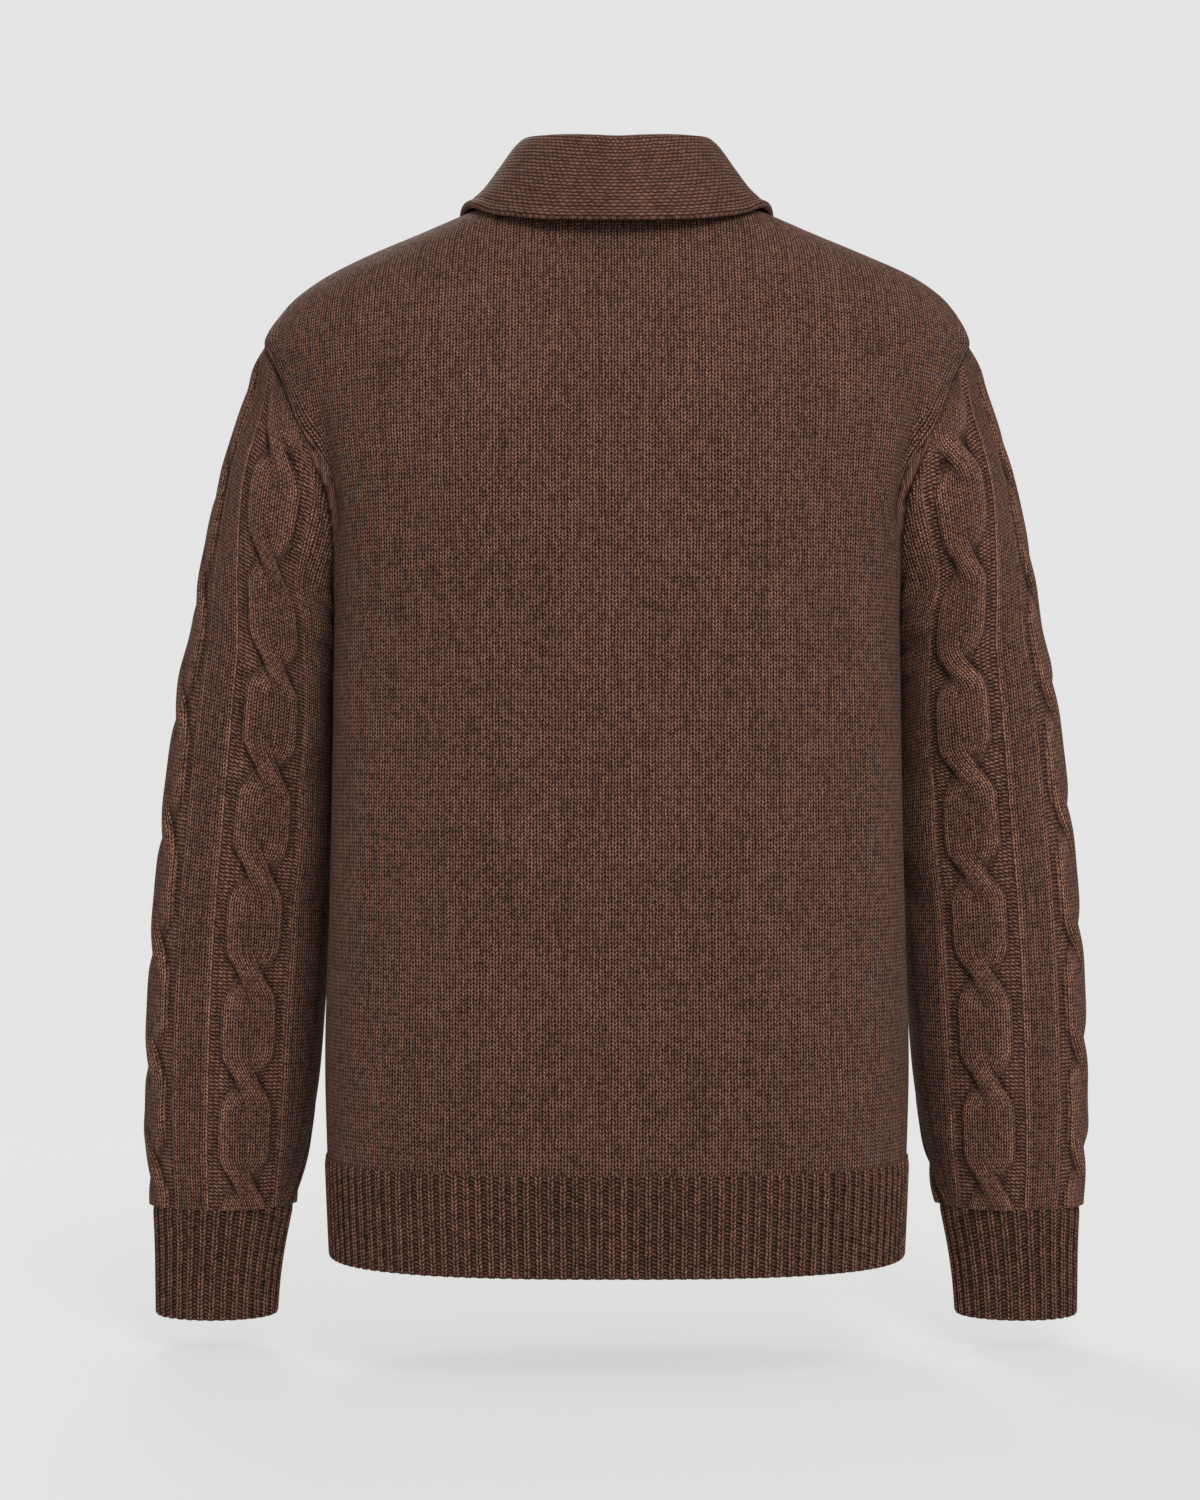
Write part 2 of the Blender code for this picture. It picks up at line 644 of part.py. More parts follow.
def back_panel(collection):
    grid, normals, low = body_grid(1, BACK_SHARES)
    shrink_rows(grid)
    grid[: low + 1, -1, 1] += SEAM_GAP / 2
    mirrored = grid[:, :0:-1] * np.array([-1, 1, 1])
    mirrored_normals = normals[:, :0:-1] * np.array([-1, 1, 1])
    grid = np.concatenate([mirrored, grid], axis=1)
    normals = np.concatenate([mirrored_normals, normals], axis=1)
    middle = len(BACK_SHARES) - 1
    last = 2 * middle
    neck = range(middle - NECK_COLUMNS, middle + NECK_COLUMNS + 1)
    ends = (0, 1, last - 1, last)
    picked = [k for k in range(last + 1) if k in neck or k in ends or k % INSIDE_STEP == 0]
    mesh = wall_mesh("back", grid, inner_columns(grid, normals, picked, ends))
    return new_object("back", mesh, collection, CLOTH, 0.95)


def front_panel(collection, name, hand):
    grid, normals, low = body_grid(-1, front_shares())
    shrink_rows(grid)
    grid[: low + 1, -1, 1] -= SEAM_GAP / 2
    grid[:, 0, 0] += SEAM_GAP / 2
    last = len(front_shares()) - 1
    full = (0, last - 1, last)
    picked = [k for k in range(last + 1) if k in full or k % INSIDE_STEP == 0]
    mesh = wall_mesh(name, grid, inner_columns(grid, normals, picked, full))
    if hand < 0:
        mirror(mesh)
    return new_object(name, mesh, collection, CLOTH, 0.95)


# ---------------------------------------------------------------- sleeves and cuffs


def sleeve(collection, name, hand):
    distances = np.linspace(0, SLEEVE_LENGTH, SLEEVE_ROWS + 1)
    outer = []
    inner = []
    for index, distance in enumerate(distances):
        angles = sleeve_angles(distance)[0]
        if index == 0:
            angles = FIRST_ANGLES
            points, normals, gap = seam_frames(angles)
            points = points + gap * SEAM_GAP / 2
        else:
            where = np.full_like(angles, distance)
            points = sleeve_point(angles, where)
            normals = sleeve_normal(angles, np.minimum(where, SLEEVE_LENGTH - 1e-3))
        along = SLEEVE_LENGTH - distance
        fade = smooth(distance / CABLE_FADE)
        if index == SLEEVE_ROWS:
            points[:, 2] = CUFF_TOP + SEAM_GAP / 2
            normals[:, 2] = 0
            normals = unit(normals)
        # The cables of both sleeves turn alike, so the relief is not mirrored.
        lift = sleeve_relief(PATTERN_PLACES, along, hand) * fade
        outer.append(points + normals * lift[:, None])
        if index in SLEEVE_INSIDE_ROWS:
            step = INSIDE_STEP if index > 0 else 1
            inner.append((points - normals * WALL)[::step])
    mesh = wall_mesh(name, outer, inner, closed=True)
    if hand < 0:
        mirror(mesh)
    return new_object(name, mesh, collection, CLOTH, 0.95)


def rib_points(count, closed):
    """Shares of the way along a ribbed wall and the heights there."""
    shares = []
    heights = []
    for rib in range(count):
        for place, height in RIB_POINTS:
            shares.append((rib + place) / count)
            heights.append(height * RIB_HEIGHT)
    if not closed:
        shares = shares + [1.0]
        heights = heights + [0.0]
    return np.array(shares), np.array(heights)


def level_normals(points, closed):
    if closed:
        around = np.roll(points, -1, axis=0) - np.roll(points, 1, axis=0)
    else:
        around = np.gradient(points, axis=0)
    out = np.stack([around[:, 1], -around[:, 0], 0 * around[:, 0]], axis=-1)
    return unit(out)


def ribbed_wall(name, paths, count, closed):
    """A ribbed wall through dense level paths, bottom first, all run counter-clockwise."""
    outer = []
    inner = []
    for dense in paths:
        run = run_along(dense)
        shares, heights = rib_points(count, closed)
        points = resampled(dense, run, shares * run[-1])
        normals = level_normals(points, closed)
        outer.append(points + normals * heights[:, None])
        step = len(RIB_POINTS)
        if closed:
            picked = list(range(0, len(points), step))
        else:
            picked = every(points, step)
        inner.append((points - normals * WALL)[picked])
    if not closed:
        inner = np.swapaxes(np.array(inner), 0, 1)
    return wall_mesh(name, outer, inner, closed)


def cuff(collection, name, hand):
    angles = np.linspace(0, 2 * math.pi, 241)
    heights = (CUFF_BOTTOM, CUFF_TOP - SEAM_GAP / 2)
    paths = []
    for z in heights:
        outer_x = through(column(CUFF, 0), column(CUFF, 1), z)
        inner_x = through(column(CUFF, 0), column(CUFF, 2), z)
        deep = through(column(CUFF, 0), column(CUFF, 3), z)
        x = (outer_x + inner_x) / 2 + (outer_x - inner_x) / 2 * np.cos(angles)
        y = SLEEVE[-1][5] + deep * np.sin(angles)
        paths.append(np.stack([x, y, np.full_like(x, z)], axis=-1))
    count = round(run_along(paths[0])[-1] / RIB_PITCH)
    mesh = ribbed_wall(name, paths, count, True)
    if hand < 0:
        mirror(mesh)
    return new_object(name, mesh, collection, CLOTH_DARK, 0.95)


def mirror(mesh):
    """Swaps left and right."""
    for vertex in mesh.vertices:
        vertex.co.x = -vertex.co.x
    mesh.flip_normals()


def hem_path(z, start, end):
    """Level run of the torso's form, counter-clockwise between two angles from the front."""
    angles = np.linspace(start, end, 361)
    power = squareness(z)
    x = half_width(z) * np.sign(np.sin(angles)) * np.abs(np.sin(angles)) ** (2 / power)
    deep = np.where(np.cos(angles) > 0, depth(z, -1), depth(z, 1))
    y = -deep * np.sign(np.cos(angles)) * np.abs(np.cos(angles)) ** (2 / power)
    return np.stack([x, y, np.full_like(x, z)], axis=-1)


def front_start(z):
    """Angle of the band's seam on the level run at a height."""
    x = BAND_HALF_WIDTH + SEAM_GAP / 2
    return math.asin((x / float(half_width(z))) ** (float(squareness(z)) / 2))


def hem(collection, name, piece):
    heights = (HEM_BOTTOM, HEM_TOP - SEAM_GAP / 2)
    paths = []
    for z in heights:
        trim = SEAM_GAP / 2 / float(half_width(z))
        if piece == "back":
            path = hem_path(z, math.pi / 2 + trim, 3 * math.pi / 2 - trim)
            path[0, 1] = SEAM_GAP / 2
            path[-1, 1] = SEAM_GAP / 2
        else:
            path = hem_path(z, front_start(z), math.pi / 2 - trim)
            path[-1, 1] = -SEAM_GAP / 2
        paths.append(path)
    count = round(run_along(paths[0])[-1] / RIB_PITCH)
    mesh = ribbed_wall(name, paths, count, False)
    if piece == "right":
        mirror(mesh)
    return new_object(name, mesh, collection, CLOTH_DARK, 0.95)


# ---------------------------------------------------------------- bands and collar
STRIP_LIFT = WALL + 0.0012  # the left band lies on the right one
RAMP = 0.0050
UNDER_BAND_WIDTH = 0.0270  # the right band, which the left one covers
STRIP_LIFT_FROM = -0.2680  # from here up the left strip sinks to the panels' level
STRIP_LIFT_FADE = 0.025
FOLD_LIFT = 0.0060  # the fold stands off the chest
FOLD_LIFT_FROM = -0.2700  # from here up
FOLD_LIFT_FADE = 0.05
COLLAR_SEAT = 0.0007  # from the panels' edge to the collar's
COLLAR_REST = COLLAR_WALL / 2 + 0.0018  # the fall's middle over the panels' outside
COLLAR_LEAD = 0.0025  # the collar leaves its seam in line with the panel over this width
STRAIGHT = (-0.235, -0.110)  # heights where the neck seam is straight enough for fewer points


def band_lift(x_from_seam, hand):
    """How far a band's cloth lies over the panels' level, by its distance from its seam."""
    if hand > 0:
        return STRIP_LIFT * smooth((x_from_seam - COLLAR_LEAD) / RAMP)
    return 0 * x_from_seam


def chest_point(x, z, lift):
    """A point over the chest's outside; the lift is to the middle of a wall of the collar."""
    y = -(torso_y(x, z, -1) + lift)
    return np.stack(np.broadcast_arrays(x, y, z), axis=-1)


def solidified(name, grid, thickness, collection, colour):
    """A wall made from the middle surface of a strip."""
    bm = bmesh.new()
    rows = [[bm.verts.new(point) for point in row] for row in grid]
    for lower, upper in zip(rows, rows[1:]):
        for k in range(len(lower) - 1):
            bm.faces.new((lower[k], lower[k + 1], upper[k + 1], upper[k]))
    bmesh.ops.recalc_face_normals(bm, faces=bm.faces)
    mesh = bpy.data.meshes.new(name)
    bm.to_mesh(mesh)
    bm.free()
    part = new_object(name, mesh, collection, colour, 0.95)
    wall = part.modifiers.new("Wall", "SOLIDIFY")
    wall.thickness = thickness
    wall.offset = 0.0
    wall.use_even_offset = True
    return part


def band(collection, name, hand):
    """The button band (hand -1) or the buttonhole band (hand 1) below the collar."""
    if hand > 0:
        ramp = COLLAR_LEAD + RAMP * np.array([0.0, 0.35, 0.65, 1.0])
        across = np.concatenate([[0], ramp, [0.020, 2 * BAND_HALF_WIDTH]])
    else:
        across = np.array([0, 0.009, 0.018, UNDER_BAND_WIDTH])
    across[0] = SEAM_GAP / 2
    heights = np.linspace(HEM_BOTTOM, V_BOTTOM - SEAM_GAP, 9)
    rows = []
    for z in heights:
        x = hand * (BAND_HALF_WIDTH - across)
        lift = band_lift(across, hand) - WALL / 2
        rows.append(chest_point(x, np.full_like(x, z), lift))
    return solidified(name, np.array(rows), WALL, collection, CLOTH)


def collar_seam():
    """Points of the neck seam on the panels' outside, from the band's top to the middle back.

    They are the panels' own points, so that both sides of the seam run alike.
    """
    front, front_normals, _ = body_grid(-1, front_shares())
    back, back_normals, _ = body_grid(1, BACK_SHARES)
    first = int(np.argmin(np.abs(front[:, 0, 2] - V_BOTTOM)))
    points = np.concatenate([front[first:, 0], back[-1, NECK_COLUMNS - 1 :: -1]])
    normals = np.concatenate([front_normals[first:, 0], back_normals[-1, NECK_COLUMNS - 1 :: -1]])
    runs = run_along(points)
    halves = (runs[:2] + runs[1:3]) / 2
    straight = (points[:, 1] < 0) & (points[:, 2] > STRAIGHT[0]) & (points[:, 2] < STRAIGHT[1])
    kept = ~straight | (np.arange(len(runs)) % 2 == 0)
    where = np.sort(np.concatenate([[COLLAR_LEAD], runs[kept], halves]))
    return resampled(points, runs, where), unit(resampled(normals, runs, where)), where


def strip_lift(z, hand):
    """How far a strip of the collar lies over the panels' level, above the bands."""
    if hand > 0:
        return STRIP_LIFT * (1 - smooth((z - STRIP_LIFT_FROM) / STRIP_LIFT_FADE))
    return 0.0


def collar_rows(hand, seam, runs):
    """Run along the seam, fold, edge, roll and radius, for one half of the collar."""
    start = COLLAR_START_LEFT if hand > 0 else COLLAR_START_RIGHT
    front = seam[:, 1] < 0
    rows = []
    for seam_z, fold_x, fold_z, edge_x, edge_z, roll, radius in start + COLLAR_CHEST:
        run = np.interp(seam_z, seam[front, 2], runs[front])
        lift = FOLD_LIFT * smooth((seam_z - FOLD_LIFT_FROM) / FOLD_LIFT_FADE)
        fold = chest_point(fold_x, np.array(fold_z), lift - WALL / 2)
        edge = chest_point(edge_x, np.array(edge_z), COLLAR_REST + strip_lift(seam_z, hand))
        rows.append((run, fold, edge, roll, radius))
    radius = COLLAR_CHEST[-1][-1]
    for seam_x, side, *rest in COLLAR_NECK:
        if side < 0:
            run = np.interp(seam_x, seam[front, 0], runs[front])
        else:
            run = np.interp(-seam_x, -seam[~front, 0], runs[~front])
        rows.append((run, np.array(rest[:3]), np.array(rest[3:]), 1.0, radius))
    return rows


def rested(points, lift):
    """Moves points out along the torso's normals until they lie a lift over its outside."""
    z = np.minimum(points[..., 2], SHOULDER_Z[-1])
    lower = np.stack([points[..., 0], points[..., 1], z], axis=-1)
    small = 1e-5
    level = torso_level(lower[..., 0], lower[..., 1], lower[..., 2])
    normals = torso_normal(lower)
    ahead = lower + normals * small
    slope = (torso_level(ahead[..., 0], ahead[..., 1], ahead[..., 2]) - level) / small
    height = (level - 1) / np.maximum(slope, 1.0)
    short = np.where(points[..., 2] < SHOULDER_Z[-1], lift - height, 0.0)
    return points + normals * np.maximum(short, 0.0)[..., None]


def collar_section(seam, normal, along, fold, edge, roll, radius, hand):
    """One section of the collar from its seam over the fold to its free edge."""
    inward = unit(np.cross(along, normal))
    inward = inward * np.sign(np.dot(inward, fold - seam))
    start = seam - normal * WALL / 2 + inward * COLLAR_SEAT
    lead = start + inward * COLLAR_LEAD
    rise = unit(fold - lead)
    outward = unit(np.cross(along, rise))
    foot = fold - rise * radius
    width = np.linalg.norm(foot - lead)
    stand = lead + rise * np.array((0.0, RAMP, (RAMP + width) / 2, width))[:, None]
    lifted = strip_lift(float(seam[2]), hand)
    if lifted > 0:
        stand_run = np.linalg.norm(stand - start, axis=-1)
        ramp = smooth((stand_run - COLLAR_LEAD) / RAMP)
        stand = rested(stand, lifted * ramp - WALL / 2)
        foot = stand[-1]
    turn = math.pi * max(roll, 0.004)
    bend = math.pi * radius / turn
    arc = []
    for share in (0.2, 0.4, 0.6, 0.8, 1.0):
        angle = turn * share
        arc.append(foot + bend * (rise * math.sin(angle) + outward * (1 - math.cos(angle))))
    heading = rise * math.cos(turn) + outward * math.sin(turn)
    free = arc[-1] + heading * math.hypot(edge[0] - fold[0], edge[2] - fold[2])
    end = free + (edge - free) * smooth((roll - 0.6) / 0.4)
    fall = arc[-1] + (end - arc[-1]) * np.array((0.33, 0.67, 1.0))[:, None]
    if roll > 0.9:
        for _ in range(3):
            fall = rested(fall, COLLAR_REST + lifted)
    return np.concatenate([start[None], stand, arc, fall])


def collar_half(hand):
    """Sections of one half from the top of its band to the middle of the back neck."""
    seam, normals, runs = collar_seam()
    rows = collar_rows(hand, seam, runs)
    knots, folds, edges, rolls, radii = (np.array([row[k] for row in rows]) for k in range(5))
    along = np.gradient(seam, runs, axis=0)
    along[-1] = (-1.0, 0.0, 0.0)
    along = unit(along)
    normals[-1, 0] = 0
    sections = []
    for index, run in enumerate(runs):
        fold, edge, radius = (through(knots, values, run) for values in (folds, edges, radii))
        roll = float(np.interp(run, knots, rolls))
        frame = (seam[index], normals[index], along[index])
        section = collar_section(*frame, fold, edge, roll, float(radius), hand)
        sections.append(section)
    # The lowest two sections stand straight over each other, to meet the band's top squarely.
    sections[0] = sections[1].copy()
    sections[0][:, 2] = V_BOTTOM
    sections[1][:, 2] = V_BOTTOM + COLLAR_LEAD
    return np.array(sections) * np.array([hand, 1, 1])


def collar(collection):
    left = collar_half(1)
    right = collar_half(-1)
    grid = np.concatenate([left, right[-2::-1]])
    return solidified("shawl_collar", grid, COLLAR_WALL, collection, CLOTH)


# ---------------------------------------------------------------- buttons


def button(collection, name, z):
    """A turned button with a raised rim, lying on the buttonhole band."""
    half = BUTTON_THICKNESS / 2
    profile = (
        (0.0, half * 0.35),
        (BUTTON_RADIUS * 0.62, half * 0.35),
        (BUTTON_RADIUS * 0.74, half),
        (BUTTON_RADIUS * 0.90, half),
        (BUTTON_RADIUS, half * 0.30),
        (BUTTON_RADIUS * 0.93, -half * 0.55),
        (BUTTON_RADIUS * 0.70, -half),
        (0.0, -half),
    )
    mesh = bpy.data.meshes.new(name)
    bm = bmesh.new()
    verts = [bm.verts.new((radius, 0, height)) for radius, height in profile]
    for first, second in zip(verts, verts[1:]):
        bm.edges.new((first, second))
    bm.to_mesh(mesh)
    bm.free()
    part = new_object(name, mesh, collection, HORN, 0.35)
    turn = part.modifiers.new("Turn", "SCREW")
    turn.axis = "Z"
    turn.steps = 12
    turn.render_steps = 12
    turn.use_merge_vertices = True
    turn.merge_threshold = 0.00001
    turn.use_normal_calculate = True
    covered = z + BUTTON_RADIUS * np.array([-1.0, 0.0, 1.0])
    seat = float(torso_y(np.zeros(3), covered, -1).max()) + STRIP_LIFT
    part.location = (0, -(seat + SEAM_GAP + half), z)
    part.rotation_euler = (math.pi / 2, 0, 0)
    return part


# ---------------------------------------------------------------- assembly
CLOTH = (0.100, 0.048, 0.032)
CLOTH_DARK = (0.080, 0.037, 0.024)
HORN = (0.045, 0.022, 0.014)


def main():
    for thing in list(bpy.data.objects):
        bpy.data.objects.remove(thing, do_unlink=True)
    collection = bpy.data.collections.new("shawl_collar_cardigan")
    bpy.context.scene.collection.children.link(collection)
    back_panel(collection)
    for side, hand in (("left", 1), ("right", -1)):
        front_panel(collection, "front_" + side, hand)
        sleeve(collection, "sleeve_" + side, hand)
        cuff(collection, "cuff_" + side, hand)
        hem(collection, "hem_front_" + side, side)
        band(collection, "band_" + side, hand)
    hem(collection, "hem_back", "back")
    collar(collection)
    for number, z in enumerate(BUTTON_HEIGHTS, 1):
        button(collection, "button_%d" % number, z)


main()
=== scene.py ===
"""Shawl collar cardigan: the knit, the buttons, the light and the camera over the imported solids.

Metres, +Z up, the front faces -Y. The knit is made in three layers: the cloth's form with its
soft folds, the cables and ribs as relief in the mesh, and the stitches as height and colour in
the material, laid out by UVs that count stitches: u in wales, v in courses.
"""

import math

import bmesh
import bpy
import mathutils
import numpy as np
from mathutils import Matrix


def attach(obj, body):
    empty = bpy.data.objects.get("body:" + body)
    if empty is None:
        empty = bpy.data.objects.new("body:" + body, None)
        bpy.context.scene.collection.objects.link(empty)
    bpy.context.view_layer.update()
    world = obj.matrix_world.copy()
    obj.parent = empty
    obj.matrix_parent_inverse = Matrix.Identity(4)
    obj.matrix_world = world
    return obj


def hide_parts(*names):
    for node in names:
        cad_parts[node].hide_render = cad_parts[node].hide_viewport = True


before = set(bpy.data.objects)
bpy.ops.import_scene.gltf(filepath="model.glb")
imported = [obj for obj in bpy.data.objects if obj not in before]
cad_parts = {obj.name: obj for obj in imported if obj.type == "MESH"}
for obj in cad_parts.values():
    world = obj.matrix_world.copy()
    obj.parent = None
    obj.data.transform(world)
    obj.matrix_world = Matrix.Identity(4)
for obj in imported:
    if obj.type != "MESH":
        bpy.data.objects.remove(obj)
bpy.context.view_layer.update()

# ---------------------------------------------------------------- driving sizes
WALL = 0.0028  # thickness of the plain knit
SEAM_GAP = 0.00004  # the sewn edges are drawn together
BUTTON_GAP = 0.0003  # between a button and the band
HEM_BOTTOM = -0.6875
HEM_TOP = -0.6225
CUFF_BOTTOM = -0.7380
CUFF_TOP = -0.6633
UNDERARM = -0.2560  # height of the armhole's lowest point
SHOULDER_TIP = -0.0945  # height of the armhole's highest point
NECK_HALF_WIDTH = 0.0780
NECK_BACK_DROP = 0.0220  # from the high point of the shoulder to the centre back neck
NECK_ROUNDNESS = 3.0
NECK_FORWARD = 0.0040  # the shoulder seam's place before the ridge, at the neck
NECKLINE_CURVE = 0.95  # 1 is a straight slope
V_BOTTOM = -0.3000  # where the collar's fold line starts, above the top button
BAND_HALF_WIDTH = 0.0180
RIB_PITCH = 0.0075  # one knit wale and one purl wale
RIB_HEIGHT = 0.0018
CABLE_HEIGHT = 0.0042
PLAIN_HEIGHT = 0.0012  # plain knit over the purl ground beside a cable
CABLE_HALF_WIDTH = 0.0180
CABLE_APART = 0.0390  # from a plain panel's middle to the middle of the cable beside it
CABLE_FADE = 0.020  # the cables rise out of the armhole seam over this length
COLLAR_WALL = 0.0032
BUTTON_HEIGHTS = (-0.3220, -0.4050, -0.4880, -0.5710, -0.6540)
BUTTON_RADIUS = 0.0110
BUTTON_THICKNESS = 0.0040

# height, half_width, back_depth, front_depth, squareness of the torso's level sections
TORSO = (
    (-0.7000, 0.1860, 0.1165, 0.1155, 2.70),
    (-0.6225, 0.1893, 0.1195, 0.1190, 2.70),
    (-0.5650, 0.1908, 0.1195, 0.1210, 2.70),
    (-0.4700, 0.1885, 0.1165, 0.1230, 2.70),
    (-0.3900, 0.1866, 0.1140, 0.1245, 2.65),
    (-0.3200, 0.1852, 0.1140, 0.1255, 2.60),
    (-0.2560, 0.1850, 0.1160, 0.1250, 2.60),
    (-0.2200, 0.1900, 0.1170, 0.1235, 2.60),
    (-0.1900, 0.1968, 0.1170, 0.1205, 2.60),
    (-0.1500, 0.2129, 0.1150, 0.1120, 2.55),
    (-0.1200, 0.2204, 0.1110, 0.1025, 2.50),
    (-0.0945, 0.2306, 0.1040, 0.0930, 2.40),
    (-0.0760, 0.2234, 0.0970, 0.0850, 2.35),
    (-0.0630, 0.2135, 0.0910, 0.0790, 2.30),
    (-0.0490, 0.1938, 0.0840, 0.0710, 2.25),
    (-0.0360, 0.1651, 0.0775, 0.0630, 2.20),
    (-0.0230, 0.1336, 0.0720, 0.0540, 2.20),
    (-0.0110, 0.1056, 0.0660, 0.0460, 2.20),
    (0.0000, 0.0780, 0.0590, 0.0390, 2.20),
    (0.0080, 0.0560, 0.0520, 0.0330, 2.20),
)

# height, half_width of the armhole seam
ARMHOLE = (
    (-0.2560, 0.1850),
    (-0.2450, 0.1846),
    (-0.2200, 0.1848),
    (-0.1900, 0.1872),
    (-0.1700, 0.1942),
    (-0.1500, 0.2025),
    (-0.1200, 0.2158),
    (-0.1050, 0.2243),
    (-0.0945, 0.2306),
)

# distance, outer_x, outer_z, inner_x, inner_z, centre_y, half_depth of the sleeve's sections
SLEEVE = (
    (0.048, 0.2525, -0.1500, 0.1935, -0.2690, -0.004, 0.0580),
    (0.095, 0.2690, -0.2100, 0.1900, -0.2900, -0.014, 0.0620),
    (0.145, 0.2820, -0.2750, 0.1880, -0.3200, -0.026, 0.0630),
    (0.198, 0.2920, -0.3350, 0.1875, -0.3650, -0.036, 0.0605),
    (0.253, 0.3005, -0.3950, 0.1885, -0.4150, -0.043, 0.0565),
    (0.308, 0.3070, -0.4550, 0.1925, -0.4650, -0.047, 0.0530),
    (0.375, 0.3120, -0.5250, 0.1975, -0.5280, -0.050, 0.0500),
    (0.429, 0.3135, -0.5800, 0.2025, -0.5820, -0.051, 0.0470),
    (0.479, 0.3125, -0.6300, 0.2110, -0.6310, -0.051, 0.0430),
    (0.512, 0.3105, CUFF_TOP, 0.2190, CUFF_TOP, -0.050, 0.0370),
)

# height, outer_x, inner_x, half_depth of the cuff's level sections
CUFF = (
    (CUFF_BOTTOM, 0.3085, 0.2300, 0.0310),
    (-0.7150, 0.3088, 0.2282, 0.0318),
    (-0.6900, 0.3092, 0.2245, 0.0330),
    (CUFF_TOP, 0.3105, 0.2190, 0.0370),
)

# place in the pitch, height share of a rib's section
RIB_SECTION = (
    (0.00, 0.00),
    (0.10, 0.06),
    (0.20, 0.50),
    (0.29, 0.94),
    (0.38, 1.00),
    (0.50, 0.80),
    (0.62, 1.00),
    (0.71, 0.94),
    (0.80, 0.50),
    (0.90, 0.06),
)
KNIT_WALE = (0.17, 0.83)  # where the knit wale starts and ends in the pitch
RIB_ROLL = 0.0022  # height of the bottom edge that rolls in
RIB_ROLL_DEPTH = 0.0012
RIB_SCALLOP = 0.0008  # how much lower a rib's end is than its purl
RIB_SCALLOP_REACH = 0.006
RIB_EASE = 0.45  # how much lower the ribs are at the top seam
RIB_EASE_FROM = 0.90  # share of the height

# side, middle (round the girth from the sleeve's middle line), pitch, first_cross (from the cuff)
CABLES = (
    (1, CABLE_APART, 0.0735, 0.0286),
    (1, 3 * CABLE_APART, 0.0695, 0.0180),
    (-1, CABLE_APART, 0.0735, 0.0286),
    (-1, 3 * CABLE_APART, 0.0695, 0.0180),
)

# distance, shift of the sleeve's middle line to the front of its outermost line
MIDDLE_SHIFT = ((0.0, 0.0135), (0.145, 0.0135), (0.300, 0.0180), (0.512, 0.0195))
COLUMNS_PARALLEL_TO = MIDDLE_SHIFT[1][0]  # above this the knit's columns run straight up
PATTERN_GIRTH = 0.344  # girth at which the cables have the sizes above
PLAIN_EDGE = 0.0138  # from a plain panel's middle to its edge
PATTERN_LIMIT = 4 * CABLE_APART - PLAIN_EDGE  # the outer edge of the outermost cable
SLEEVE_RINGS = 320
HALF_PLACES = 124  # columns on each half of the pattern
UNDER_PLACES = 11  # columns from the pattern to the seam under the arm
UNDER_COLUMN = 0.0022  # their spacing

# a cable's two strands, in cable half widths across it and shares of the pitch along it
STRAND_HALF_WIDTH = 0.56
STRAND_ROUNDNESS = 0.55  # power of the rounded section
STRAND_SWING = 0.47
STRAND_CROSSES_OVER = 0.30
WAIST_DEPTH = 0.20  # the cable is narrower where its strands cross
WAIST_REACH = 0.16
CROSSING_REACH = 0.20
UPPER_LIFT = 0.22
LOWER_SINK = 0.72
LOBE_HEIGHT = 0.95  # between crossings both strands make one lobe
LOBE_HALF_WIDTH = 1.03
LOBE_FROM = 0.17
LOBE_FADE = 0.20
RIDGE_HEIGHT = 0.0006  # the plain strip's raised edge beside a cable
RIDGE_PLACE = 0.10
RIDGE_WIDTH = 0.07
PURL_BELOW = 0.0009  # height under which the ground beside a strand is purl
# Each strand's rim gets a painted highlight.
RIM_PLACE = 0.62  # height share of a strand's bright rim
RIM_WIDTH = 0.22

# the soft fold that runs down the back and front from the armhole seam to the body's side
CREASE_TOP = -0.1180
CREASE_BOTTOM = -0.2400
CREASE_X = 0.1925
CREASE_LEAN = 0.0085  # from CREASE_X, at its bottom
CREASE_WIDTH = 0.0080
CREASE_DEPTH = 0.0064
CREASE_FADES = (0.35, 0.30)  # shares of its length, at its top and bottom

# seam_z, fold_x, fold_z, edge_x, edge_z, roll (1 is half a turn), radius of the roll
COLLAR_START_LEFT = (
    (-0.3000, -0.0104, -0.3000, -0.0124, -0.3000, 0.00, 0.0026),
    (-0.2890, -0.0085, -0.2885, -0.0035, -0.2895, 0.22, 0.0026),
    (-0.2780, -0.0035, -0.2770, 0.0085, -0.2800, 0.52, 0.0030),
    (-0.2670, 0.0020, -0.2650, 0.0215, -0.2730, 0.86, 0.0036),
    (-0.2560, 0.0065, -0.2530, 0.0355, -0.2655, 1.00, 0.0040),
    (-0.2360, 0.0115, -0.2320, 0.0560, -0.2500, 1.00, 0.0044),
)
COLLAR_START_RIGHT = (
    (-0.3000, -0.0014, -0.3000, -0.0034, -0.3000, 0.00, 0.0026),
    (-0.2890, -0.0014, -0.2890, -0.0034, -0.2890, 0.00, 0.0026),
    (-0.2780, 0.0050, -0.2775, 0.0030, -0.2775, 0.00, 0.0026),
    (-0.2670, 0.0115, -0.2660, 0.0095, -0.2660, 0.00, 0.0026),
    (-0.2560, 0.0138, -0.2545, 0.0195, -0.2580, 0.45, 0.0030),
    (-0.2400, 0.0135, -0.2370, 0.0400, -0.2500, 0.95, 0.0040),
    (-0.2252, 0.0138, -0.2210, 0.0620, -0.2380, 1.00, 0.0044),
)
# the same above the crossing, for both halves
COLLAR_CHEST = (
    (-0.2050, 0.0165, -0.1990, 0.0800, -0.2200, 1.00, 0.0046),
    (-0.1700, 0.0215, -0.1620, 0.0980, -0.1790, 1.00, 0.0046),
    (-0.1270, 0.0280, -0.1160, 0.1110, -0.1300, 1.00, 0.0046),
    (-0.0820, 0.0355, -0.0660, 0.1165, -0.0830, 1.00, 0.0046),
)
